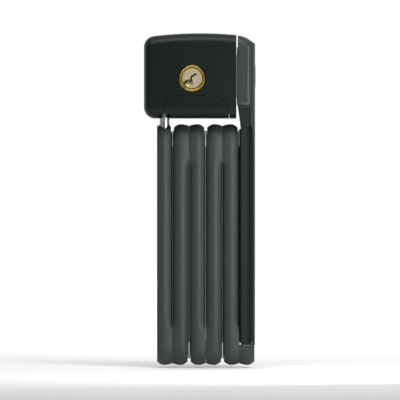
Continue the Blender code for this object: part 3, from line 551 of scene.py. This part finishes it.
def jacket_surface(name, n, settings):
    """A bar's jacket.

    First parameter u runs across the thickness from -1 to 1, second round a slot outline of radius
    R(u) = bar radius - crown |u|^2 about the two pivots. x = centre + u (half thickness + pad),
    where the pad fades out away from a pivot, and the crown is smaller on a linked side near its
    pivot and over the first bar's open end. Inside each side's rim the slot outlines go on,
    shrinking to the rib's half width while they rise to the pad's height. Each side is closed by
    strips between points of equal height.
    """
    x, (left, right) = COLUMN[n - 1], pivots_of(n)
    pad = (PITCH - settings.thick - settings.gap) / 2
    turn, straight = 24, 40
    u = np.sin(np.linspace(-np.pi / 2, np.pi / 2, 25))
    top = np.radians(np.linspace(0, 180, 2 * turn + 1))
    side = np.linspace(HIGH_PIVOT, LOW_PIVOT, straight + 2)[1:-1]
    cosine = np.concatenate([np.cos(top), -np.ones(straight), -np.cos(top), np.ones(straight)])
    sine = np.concatenate([np.sin(top), np.zeros(straight), -np.sin(top), np.zeros(straight)])
    highs, lows = np.full(top.size, HIGH_PIVOT), np.full(top.size, LOW_PIVOT)
    centre = np.concatenate([highs, side, lows, side[::-1]])
    z = centre + BAR_RADIUS * sine
    linked = np.where(u[:, None] > 0, near(z, right, settings)[None], near(z, left, settings)[None])
    crown = settings.crown + (settings.joined_crown - settings.crown) * linked
    if n == 1:
        crown = crown * (1 - settings.squared * np.clip(sine, 0.0, 1.0))
    radius = BAR_RADIUS - crown * u[:, None] ** 2
    half = settings.thick / 2 + pad * linked
    ring = (settings.rib + RIB_STEP)[:, None]
    ribs = []
    for way, share, rise in ((-1, linked[:1], RIB_RISE * (n > 1)), (1, linked[-1:], RIB_RISE)):
        out = way * (settings.thick / 2 + pad * np.maximum(share, rise[:, None]))
        ribs.append(np.stack([x + out, ring * cosine, centre + ring * sine], -1))
    rim = np.stack([x + u[:, None] * half, radius * cosine, centre + radius * sine], -1)
    grid = np.concatenate([ribs[0][::-1], rim, ribs[1]])
    columns = z.size
    faces = sheet_faces(len(grid), columns)
    i = np.arange(columns // 2)
    strip = np.stack([turn + i, turn + i + 1, turn - i - 1, turn - i]).T % columns
    for end in (strip[:, ::-1], strip + (len(grid) - 1) * columns):
        faces += [list(dict.fromkeys(face)) for face in end.tolist()]
    return mesh_piece(name, grid, faces)


def rivet_seats(name, n, settings):
    """Shallow round seats for the rivet heads, in both sides at each pivot."""
    left, right = pivots_of(n)
    x, reach = COLUMN[n - 1], settings.thick
    low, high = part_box("rivet_1")
    head = (high[2] - low[2]) / 2 + RIVET_ROOM
    deep = settings.thick / 2 - RIVET_SEAT
    made = []
    for pivots, way in ((right, -1), (left, 1)):
        for z in pivots:
            places = sorted([x + way * deep, x + way * reach])
            made.append(turned(f"{name}_seat_{way}", "X", (0.0, z), [(p, head) for p in places]))
    return made


class LOCK_OT_bars(bpy.types.Operator):
    """Build the five short bars' jackets and the long bar's foot"""
    bl_idname = "lock.bars"
    bl_label = "Bars"

    def execute(self, context):
        settings, paint = context.scene.lock_bars, finishes()
        for n in range(1, SHORT_BARS + 1):
            name = f"jacket_{n}"
            made = jacket_surface(name, n, settings)
            cut(made, *rivet_seats(name, n, settings))
            if n == 1:
                open_end(made)
            smooth(soften(made, JACKET_LIP, 55.0), 40.0)
            hand_over(made, paint["jacket"], f"bar_{n}", [f"bar_{n}_jacket"])
        foot = smooth(soften(foot_surface(settings), JACKET_LIP, 55.0), 40.0)
        hand_over(foot, paint["jacket"], "long_bar", ["long_bar_foot"])
        dress(paint["steel"], "long_bar_core", *numbered("bar_{}_core", SHORT_BARS))
        dress(paint["steel"], *numbered("rivet_spacer_{}", SHORT_BARS))
        return {"FINISHED"}


def foot_surface(settings):
    """The long bar's foot: a sixth jacket cut off under the cover, its upper part stepped back."""
    (left, _, _), (right, _, top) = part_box("long_bar_foot")
    wide = 2 * BAR_RADIUS
    left, right = left - wide, right + wide
    foot = jacket_surface("foot", SHORT_BARS + 1, settings)
    cut(foot, box_piece("foot_cut", (left, -wide, top), (right, wide, LOCK_TOP)))
    cut(foot, *rivet_seats("foot", SHORT_BARS + 1, settings))
    for way in (-1, 1):
        near_y, far_y = sorted([way * FOOT_HALF, way * wide])
        low = (left, near_y, LOW_PIVOT - 1.0 * MM)
        cut(foot, box_piece("foot_step", low, (right, far_y, LOCK_TOP)))
    return foot


def open_end(jacket):
    """Opens the first bar's end at the front, where the stub stands."""
    half = STUB_RADIUS + STUB_ROOM
    low, high = (STUB_X - half, -2 * BAR_RADIUS, STUB_BASE), (STUB_X + half, half, STUB_TOP)
    cut(jacket, box_piece("stub_seat", low, high))


def rivet_surface(name, n, settings):
    """A rivet: two low domed heads on a shaft, turned about its own axis, level with the ribs."""
    low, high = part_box(f"rivet_{n}")
    level = PITCH / 2 - settings.gap / 2 - 0.05 * MM
    if n > 1:
        low[0] = COLUMN[n - 1] - level
    if n < SHORT_BARS:
        high[0] = COLUMN[n] + level
    head = (high[2] - low[2]) / 2 / math.cos(math.pi / 16)
    z, thick = (low[2] + high[2]) / 2, 0.5 * MM
    s = np.linspace(0.0, 1.0, 7)
    dome = [(thick * (1 - t) ** 2, head * math.sin(math.pi / 2 * (0.35 + 0.65 * t))) for t in s]
    profile = [(low[0], head * 0.2)] + [(low[0] + a, r) for a, r in dome]
    profile += [(low[0] + thick, head), (low[0] + thick, RIVET_SHAFT)]
    profile += [(low[0] + high[0] - a, r) for a, r in profile[::-1]]
    return turned(name, "X", (0.0, z), profile, 48)


class LOCK_OT_fasteners(bpy.types.Operator):
    """Build the rivets, the locking stub and the pivot pin, and finish the steel inside"""
    bl_idname = "lock.fasteners"
    bl_label = "Fasteners and stub"

    def execute(self, context):
        paint = finishes()
        for n in range(1, SHORT_BARS + 1):
            body = "long_bar" if n == SHORT_BARS else f"bar_{n + 1}"
            made = smooth(rivet_surface(f"joint_rivet_{n}", n, context.scene.lock_bars), 30.0)
            hand_over(made, paint["dark"], body, [f"rivet_{n}"])
        stub = smooth(stub_surface(), 30.0)
        hand_over(stub, paint["polished"], "bar_1", ["locking_stub"])
        pin = smooth(pin_surface(), 30.0)
        hand_over(pin, paint["dark"], "lock_body", ["pivot_pin"])
        dress(paint["nylon"], "pivot_washer")
        dress(paint["dark"], *numbered("cover_screw_{}", SCREWS))
        dress(paint["block"], "lock_block", "lock_back_plate")
        dress(paint["steel"], "pivot_nut", "latch", "cylinder_cam", "cam_screw")
        dress(paint["wire"], "latch_spring", *numbered("pin_spring_{}", PINS))
        dress(paint["steel"], *numbered("driver_pin_{}", PINS))
        return {"FINISHED"}


def stub_surface():
    """The stub: shank, collar with a fine chamfer, rounded neck groove for the latch, rounded tip."""
    r, neck, spigot = STUB_RADIUS, 1.6 * MM, 1.3 * MM
    base, chamfer, lip = STUB_BASE + STUB_ROOM, 0.15 * MM, 0.2 * MM
    plate, room = 1.6 * MM, 0.4 * MM
    latch_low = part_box("latch")[0][2]
    groove_low, groove_high = latch_low - room, latch_low + plate + room
    profile = [(STUB_LOW[2], spigot), (base, spigot), (base, r - chamfer), (base + chamfer, r)]
    profile += [(groove_low - lip, r), (groove_low, r - lip), (groove_low, neck)]
    profile += [(groove_high, neck), (groove_high, r - lip), (groove_high + lip, r)]
    t = np.linspace(0.0, np.pi / 2, 8)
    tip = 0.9 * MM
    profile += [(STUB_TOP - tip + tip * math.sin(a), r - tip + tip * math.cos(a)) for a in t]
    return turned("stub", "Z", (STUB_X, 0.0), profile, 72)


def pin_surface():
    """The pivot pin: a long shaft ending in a low domed head with a small centre mark."""
    low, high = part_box("pivot_pin")
    head, top, mark = (high[2] - low[2]) / 2, high[0] - 0.22 * MM, high[0] - 0.25 * MM
    face, step = high[0] - 0.85 * MM, low[0] + 2.6 * MM
    thread, shaft = 2.3 * MM, 4.0 * MM
    profile = [(low[0], thread), (step, thread), (step, shaft)]
    profile += [(face, shaft), (face, head), (top, head)]
    t = np.linspace(0.0, 1.0, 6)[1:]
    profile += [(high[0] - 0.22 * MM * (1 - a) ** 2, head * (1 - 0.14 * a)) for a in t]
    profile += [(high[0], 2.0 * MM), (mark, 1.5 * MM), (mark, 0.2 * MM)]
    return turned("pivot_pin_turned", "X", (0.0, PIVOT_Z), profile, 72)


# Lock body ---------------------------------------------------------------------------------------


INSERT_LIP = 0.22 * MM


def lock_outline(settings, inset=0.0):
    """The lock from the front in (x, z): flat right side, arched top, round left corners.

    The top falls from its height as arch (away from its centre / half width)^2.
    """
    left, right, bottom = LOCK_LEFT + inset, LOCK_RIGHT - inset, LOCK_BOTTOM + inset
    corner = settings.corner - inset
    half = (LOCK_RIGHT - LOCK_LEFT) / 2
    centre = (LOCK_LEFT + LOCK_RIGHT) / 2 + 4.5 * MM

    def arch(x):
        return LOCK_TOP - inset - settings.arch * ((x - centre) / half) ** 2

    xs = np.linspace(right, LOCK_LEFT + settings.corner + 1.2 * MM, 36)
    corners = [(left, bottom, corner), (right, bottom, 0)]
    corners += [(x, arch(x), 0) for x in xs] + [(left, arch(left), corner)]
    return rounded(corners, 20)


def lock_solid(name, settings, inset=0.0):
    """The lock body's outer form, or its inside when inset is the wall.

    A pillow with its flat side at the right.
    """
    outline = lock_outline(settings, inset)
    flat = np.abs(outline[:, 0] - outline[:, 0].max()) < 1e-7
    edges = max(settings.side_edge - inset, 0.0), settings.edge - inset
    return pillow(name, outline, flat, edges, LOCK_HALF - inset)


def pillow(name, outline, flat, edges, half):
    """An outline in (x, z) carried along y, rounded towards both faces.

    Rings at each depth y are the outline drawn in along its normals by edge (1 - sin a) with
    y = half depth - edge (1 - cos a), a quarter ellipse; the edge is the mean of the side and top
    roundings weighted by the normal, and nothing on the flat side.
    """
    normal, deep = offsets(outline), edges[1]
    normal[flat] = np.stack([np.zeros(flat.sum()), np.sign(normal[flat, 1])], -1)
    share = normal ** 2 / (normal ** 2).sum(1, keepdims=True)
    edge = edges[0] * share[:, 0] + deep * share[:, 1]
    a = np.radians(np.linspace(0, 90, 13))
    depth = np.concatenate([-half + deep * (1 - np.cos(a)), half - deep * (1 - np.cos(a[::-1]))])
    drawn = np.concatenate([1 - np.sin(a), 1 - np.sin(a[::-1])])
    plane = outline[None] - (drawn[:, None] * edge[None])[..., None] * normal[None]
    return loft(name, across("Y", plane, depth[:, None]))


def seam_outline(grow):
    """The arched parting line of the bottom insert, moved outwards by grow."""
    left, right = LOCK_LEFT + 8.8 * MM - grow, LOCK_LEFT + 38.5 * MM + grow
    top, low, splay = LOCK_BOTTOM + 10.0 * MM + grow, LOCK_BOTTOM - PAST, 0.3 * MM
    return rounded([
        (left - splay, low, 0), (right + splay, low, 0), (right, LOCK_BOTTOM + 1.0 * MM, 0),
        (right - 1.7 * MM, top, 7.5 * MM + grow), (left + 1.3 * MM, top, 5.5 * MM + grow),
        (left, LOCK_BOTTOM + 3.0 * MM, 0),
    ], 24)


def stub_ways(name):
    """Cutters for the notch before the stub, and for the stub's way in from the back."""
    half, snug = STUB_RADIUS + 0.35 * MM, STUB_RADIUS - 0.25 * MM
    low, deep, top = LOCK_BOTTOM - PAST, 2 * LOCK_HALF, LOCK_BOTTOM + 1.9 * MM
    notch_low, notch_high = (STUB_X - snug, -deep, low), (STUB_X + snug, deep, top)
    way_low, way_high = (STUB_X - half, -half, low), (STUB_X + half, deep, STUB_TOP + 0.6 * MM)
    notch = box_piece(name + "_notch", notch_low, notch_high)
    return [notch, box_piece(name + "_way", way_low, way_high)]


class LOCK_OT_body(bpy.types.Operator):
    """Build the lock body's front and rear covers and the arched bottom insert"""
    bl_idname = "lock.body"
    bl_label = "Lock body"

    def execute(self, context):
        settings, paint = context.scene.lock_covers, finishes()
        for name, side in (("front", 1), ("rear", -1)):
            made = cover_half(f"cover_{name}", side, settings)
            smooth(soften(made, settings.lip, 48.0), 38.0)
            hand_over(made, paint["cover"], "lock_body", [f"lock_cover_{name}"])
        made = smooth(soften(insert_solid(settings), INSERT_LIP, 48.0, 3), 38.0)
        hand_over(made, paint["cover"], "lock_body", ["bottom_insert"])
        return {"FINISHED"}


def cover_half(name, side, settings):
    """A cover: the front half of the shell for side 1, the rear half for -1, open where parts pass."""
    deep, half_seam, right = 2 * LOCK_HALF, settings.seam / 2, LOCK_RIGHT + PAST
    near_y, far_y = sorted([-side * half_seam, side * deep])
    low, high = (LOCK_LEFT - PAST, near_y, LOCK_BOTTOM - PAST), (right, far_y, LOCK_TOP + PAST)
    pivot = [(LOCK_RIGHT - 4 * MM, 4.6 * MM), (right, 4.6 * MM)]
    made = lock_solid(name, settings)
    cut(
        made, lock_solid("room", settings, settings.wall), box_piece("other_half", low, high),
        prism("arch", "Y", seam_outline(half_seam), -deep, deep),
        turned("pivot_way", "X", (0.0, PIVOT_Z), pivot), *stub_ways(name),
    )
    return cut(made, *([cylinder_way()] if side > 0 else screw_seats()))


def cylinder_way():
    """The round hole for the cylinder, in the front cover."""
    radius = (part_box("cylinder_plug")[1][0] - KEY_X) + 1.55 * MM
    profile = [(-2 * LOCK_HALF, radius), (-LOCK_HALF / 2, radius)]
    return turned("key_way", "Y", (KEY_X, KEY_Z), profile, 96)


def insert_solid(settings):
    """The bottom insert: the part of the shell inside the arched line."""
    deep = 2 * LOCK_HALF
    insert = lock_solid("insert", settings)
    cut(insert, lock_solid("room", settings, settings.wall))
    arch = prism("arch", "Y", seam_outline(-settings.seam / 2), -deep, deep)
    cut(insert, arch, operation="INTERSECT")
    return cut(insert, *stub_ways("insert"))


def screw_seats():
    """Stepped round seats for the screws in the rear cover."""
    made, floor = [], LOCK_HALF - 1.0 * MM
    for name in numbered("cover_screw_{}", SCREWS):
        low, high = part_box(name)
        x, z = (low[0] + high[0]) / 2, (low[2] + high[2]) / 2
        head = (high[0] - low[0]) / 2 + 0.3 * MM
        profile = [(LOCK_HALF - 4 * MM, head / 2), (floor, head / 2)]
        profile += [(floor, head), (LOCK_HALF + PAST, head)]
        made.append(turned(f"{name}_seat", "Y", (x, z), profile, 48))
    return made


# Cylinder ----------------------------------------------------------------------------------------


class LOCK_OT_cylinder(bpy.types.Operator):
    """Finish the brass cylinder, its plug and its pins"""
    bl_idname = "lock.cylinder"
    bl_label = "Cylinder"

    def execute(self, context):
        paint = finishes()
        dress(paint["rim"], "cylinder_housing")
        dress(paint["face"], "cylinder_plug", *numbered("key_pin_{}", PINS))
        return {"FINISHED"}


# Long bar ----------------------------------------------------------------------------------------


STRIP_HALF = 8.2 * MM
STRIP_LEFT = COVER_HIGH[0] - 2.1 * MM
HEAD_LOW = HIGH_PIVOT + BAR_RADIUS - 2.2 * MM
WEB_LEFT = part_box("long_bar_foot")[0][0] + 0.6 * MM
WEB_TOP = HEAD_LOW + 4.0 * MM
OVERLAP = 0.4 * MM


def long_outline():
    """The long bar's cover from the side in (y, z): a broad rounded head narrowing to the strip."""
    top, low, corner, bend = COVER_HIGH[2], COVER_LOW[2], 0.4 * MM, 9.0 * MM
    waist, shoulder = LOCK_BOTTOM - 7.0 * MM, LOCK_BOTTOM + 6.5 * MM
    return rounded([
        (-STRIP_HALF, low, 0), (STRIP_HALF, low, 0), (STRIP_HALF, waist, bend),
        (LOCK_HALF, shoulder, bend), (LOCK_HALF, top, corner), (-LOCK_HALF, top, corner),
        (-LOCK_HALF, shoulder, bend), (-STRIP_HALF, waist, bend),
    ], 18)


class LOCK_OT_long_bar(bpy.types.Operator):
    """Build the long bar's cover"""
    bl_idname = "lock.long_bar"
    bl_label = "Long bar"

    def execute(self, context):
        settings, paint = context.scene.lock_covers, finishes()
        made = long_cover(context.scene.lock_bars)
        smooth(soften(made, settings.lip, 48.0), 38.0)
        hand_over(made, paint["long"], "long_bar", ["long_bar_cover"])
        return {"FINISHED"}


def head_crest():
    """A pillow round the whole cover: its top falls to the right as s^1.75, its right side is round."""
    settings = bpy.context.scene.lock_covers
    past = 0.04 * MM
    left, right, low = COVER_LOW[0] - past, COVER_HIGH[0] + past, COVER_LOW[2] - 9.0 * MM
    s = np.concatenate([[1.0], np.linspace(0.56, 0.0, 14)])
    top = COVER_HIGH[2] - settings.head_drop * (0.06 + 0.94 * s ** 1.75)
    crest = [(left + a * (right - left), z, 0) for a, z in zip(s, top)]
    outline = rounded([(left, low, 0), (right, low, 0), *crest])
    flat = np.abs(outline[:, 0] - left) < 1e-7
    half = LOCK_HALF - 0.02 * MM
    return pillow("crest", outline, flat, (settings.head_side_edge, settings.edge), half)


def long_cover(bars):
    """Strip and head in one, the web round the core with scooped sides, and the room for the core."""
    cover = strip_and_head()
    deep, bend, left = 2 * LOCK_HALF, LOCK_BOTTOM + 6.0 * MM, COVER_LOW[0] - PAST
    slope = np.array([
        (left, HEAD_LOW - PAST), (WEB_LEFT + 0.3 * MM, HEAD_LOW - PAST),
        (WEB_LEFT, HEAD_LOW + 0.5 * MM), (COVER_LOW[0], bend), (left, bend),
    ])
    cut(cover, prism("slope", "Y", slope, -deep, deep))
    cut(cover, *web_and_rib(bars), operation="UNION")
    cut(cover, head_crest(), operation="INTERSECT")
    cut(cover, *web_scoops(), *core_room())
    rim = [(COVER_LOW[0] - 0.4 * MM, 13.2 * MM), (COVER_LOW[0] + 0.3 * MM, 13.2 * MM)]
    cut(cover, turned("rim", "X", (0.0, PIVOT_Z), rim, 96), operation="UNION")
    return cut(cover, *pivot_holes())


def strip_and_head():
    """The strip on the outer side, with the head filled out towards the lock body.

    Strip: the outline drawn in by edge (1 - cos a) at x = right - edge + edge sin a. Head: the
    outline's upper part, closed straight across below, carried along x.
    """
    outline, edge = long_outline(), 2.2 * MM
    normal = offsets(outline)
    a = np.radians(np.linspace(8, 90, 12))
    places = np.concatenate([[STRIP_LEFT], COVER_HIGH[0] - edge + edge * np.sin(a)])
    inset = np.concatenate([[0.0], edge * (1 - np.cos(a))])
    inset[1] = min(inset[1], 0.02 * MM)
    keep = np.where(outline[:, 1] > COVER_LOW[2] + 0.3 * MM, 1.0, 0.0)
    way = np.stack([normal[:, 0], normal[:, 1] * keep], -1)
    plane = outline[None] - inset[:, None, None] * way[None]
    cover = loft("long_cover", across("X", plane, np.broadcast_to(places[:, None], plane.shape[:2])))
    upper = outline[outline[:, 1] > WEB_TOP]
    start = int(np.argmin(np.where(upper[:, 0] > 0, upper[:, 1], 1.0)))
    foot = np.array([(-STRIP_HALF, HEAD_LOW), (STRIP_HALF, HEAD_LOW)])
    ring = np.concatenate([foot, np.roll(upper, -start, 0)])
    head = prism("head", "X", ring, COVER_LOW[0], STRIP_LEFT + OVERLAP)
    return cut(cover, head, operation="UNION")


def web_and_rib(bars):
    """The web over the core, and the low rib on it that meets the next bar's rib."""
    half, low = 6.9 * MM, COVER_LOW[2]
    web = box_piece("web", (WEB_LEFT, -half, low), (STRIP_LEFT + OVERLAP, half, WEB_TOP))
    rib_left = COLUMN[-1] - (PITCH - bars.gap) / 2
    rib_low, rib_high = (rib_left, -bars.rib, low + 2 * MM), (WEB_LEFT + OVERLAP, bars.rib, HEAD_LOW)
    return web, box_piece("rib", rib_low, rib_high)


def web_scoops():
    """Long round scoops that hollow the web's front and back into channels."""
    low, radius = COVER_LOW[2], 3.35 * MM
    profile = [
        (low + 1.6 * MM, 3.1 * MM), (low + 2.6 * MM, radius),
        (HEAD_LOW - 3 * MM, radius), (HEAD_LOW + 1 * MM, 2.6 * MM),
    ]
    x, away = COLUMN[-1] - 0.6 * MM, 9.4 * MM
    return [turned("scoop", "Z", (x, side * away), profile) for side in (-1, 1)]


def core_room():
    """The slot for the steel core, and the round pocket for its upper end."""
    x, core, pocket = COLUMN[-1], 6.0 * MM, 8.9 * MM
    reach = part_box("long_bar_core")[1][0] - x + 0.3 * MM
    upper, lower = arc((0.0, PIVOT_Z), core, 0, 180, 25), arc((0.0, LOW_PIVOT), core, 180, 360, 25)
    slot = prism("tunnel", "X", np.concatenate([upper, lower]), x - reach, x + reach)
    return slot, turned("pocket", "X", (0.0, PIVOT_Z), [(x - reach, pocket), (x + reach, pocket)])


def pivot_holes():
    """The washer's recess inside the rim, and the holes for the lowest rivet and the pivot pin."""
    left, right, washer = COVER_LOW[0] - PAST, COVER_HIGH[0] + PAST, 10.1 * MM
    profile = [(left, washer), (COVER_LOW[0] + 0.02 * MM, washer)]
    made = [turned("recess", "X", (0.0, PIVOT_Z), profile, 96)]
    for z, radius in ((LOW_PIVOT, 4.8 * MM), (PIVOT_Z, 6.05 * MM)):
        made.append(turned("hole", "X", (0.0, z), [(left, radius), (right, radius)]))
    return made


# Studio ------------------------------------------------------------------------------------------


def lamp(name, place, aim, size, power):
    """An area light at a place, turned towards a point."""
    data = bpy.data.lights.new(name, "AREA")
    data.shape, data.size, data.size_y = "RECTANGLE", size[0], size[1]
    data.energy = power
    made = bpy.data.objects.new(name, data)
    bpy.context.scene.collection.objects.link(made)
    made.location, made.visible_camera = place, False
    made.rotation_euler = (Vector(aim) - Vector(place)).to_track_quat("-Z", "Y").to_euler()
    return made


def studio_world(settings):
    """Bright behind the lock and dim on the camera's side, whatever looks at it."""
    world = bpy.data.worlds.new("studio")
    world.use_nodes = True
    nodes, links = world.node_tree.nodes, world.node_tree.links
    place = nodes.new("ShaderNodeTexCoord")
    parts = nodes.new("ShaderNodeSeparateXYZ")
    links.new(place.outputs["Generated"], parts.inputs[0])
    ramp = nodes.new("ShaderNodeMapRange")
    ramp.interpolation_type = "SMOOTHSTEP"
    limits = {"From Min": -0.15, "From Max": 0.4, "To Min": settings.front, "To Max": 1.0}
    for key, value in limits.items():
        ramp.inputs[key].default_value = value
    links.new(parts.outputs["Y"], ramp.inputs["Value"])
    back = nodes["Background"]
    back.inputs["Color"].default_value = (1.0, 1.0, 1.0, 1.0)
    links.new(ramp.outputs["Result"], back.inputs["Strength"])
    return world


def front_camera(settings):
    """A long lens square to the lock's front, as far away as the width of the view asks."""
    data = bpy.data.cameras.new("camera")
    data.lens, data.sensor_width = settings.lens, 36.0
    data.clip_start, data.clip_end = 0.05, 50.0
    distance = settings.view_width * settings.lens / data.sensor_width
    camera = bpy.data.objects.new("camera", data)
    bpy.context.scene.collection.objects.link(camera)
    camera.location = (settings.aim_x, -LOCK_HALF - distance, settings.aim_z)
    camera.rotation_euler = (math.pi / 2, 0.0, 0.0)
    return camera


def floor_disc():
    """A round pale floor that glows behind the lock, so that it runs into the backdrop."""
    floor = turned("floor", "Z", (0.0, 0.0), [(-0.012, 3.0), (-0.001, 3.0)], 96)
    paint = Paint("floor_paper", (0.92, 0.92, 0.92), 0.8)
    paint.set("Roughness", 0.75 + 0.1 * paint.noise(60.0))
    depth = paint.node("ShaderNodeSeparateXYZ", {}, {0: paint.place}, "Y")
    glow = paint.node(
        "ShaderNodeMapRange", {"interpolation_type": "SMOOTHSTEP"},
        {"Value": depth, "From Min": -0.1, "From Max": 0.5, "To Min": 0.0, "To Max": 1.0},
    )
    paint.set("Emission Color", paint.mix(glow, (0.0, 0.0, 0.0, 1.0), (1.0, 1.0, 1.0, 1.0)))
    paint.set("Emission Strength", 0.6)
    floor.data.materials.append(paint.material)
    return floor


class LOCK_OT_stage(bpy.types.Operator):
    """Set the camera, the pale floor and the soft studio light"""
    bl_idname = "lock.stage"
    bl_label = "Stage"

    def execute(self, context):
        settings = context.scene.lock_stage
        context.scene.camera = front_camera(settings)
        floor_disc()
        context.scene.world = studio_world(settings)
        context.scene.view_settings.view_transform = "Standard"
        aim = (0.0, 0.0, 0.08)
        lamp("right_strip", (0.12, -0.20, 0.09), (0.02, 0.0, 0.075), (0.06, 0.26), 0.54)
        lamp("top_softbox", (0.02, -0.16, 0.42), aim, (0.30, 0.20), 0.98)
        lamp("left_fill", (-0.55, -0.5, 0.15), aim, (0.2, 0.6), 0.13)
        return {"FINISHED"}


# Add-on ------------------------------------------------------------------------------------------


STEPS = ("stage", "body", "cylinder", "long_bar", "bars", "fasteners")
SETTINGS = {
    "lock_bars": BarSettings, "lock_covers": BodySettings,
    "lock_metal": MetalSettings, "lock_stage": StageSettings,
}
CLASSES = (
    *SETTINGS.values(), LOCK_OT_stage, LOCK_OT_body, LOCK_OT_cylinder,
    LOCK_OT_long_bar, LOCK_OT_bars, LOCK_OT_fasteners,
)


class LOCK_PT_panel(bpy.types.Panel):
    """The lock's settings and building steps"""
    bl_idname = "LOCK_PT_panel"
    bl_label = "Folding Lock"
    bl_space_type = "VIEW_3D"
    bl_region_type = "UI"
    bl_category = "Folding Lock"

    def draw(self, context):
        for name, kind in SETTINGS.items():
            group = getattr(context.scene, name)
            box = self.layout.box()
            box.label(text=kind.__doc__)
            for field in kind.__annotations__:
                box.prop(group, field)
        for step in STEPS:
            self.layout.operator(f"lock.{step}")


def register():
    for made in (*CLASSES, LOCK_PT_panel):
        bpy.utils.register_class(made)
    for name, kind in SETTINGS.items():
        setattr(bpy.types.Scene, name, bpy.props.PointerProperty(type=kind))


def unregister():
    for name in SETTINGS:
        delattr(bpy.types.Scene, name)
    for made in reversed((*CLASSES, LOCK_PT_panel)):
        bpy.utils.unregister_class(made)


def main():
    register()
    for step in STEPS:
        getattr(bpy.ops.lock, step)()


if __name__ == "__main__":
    main()
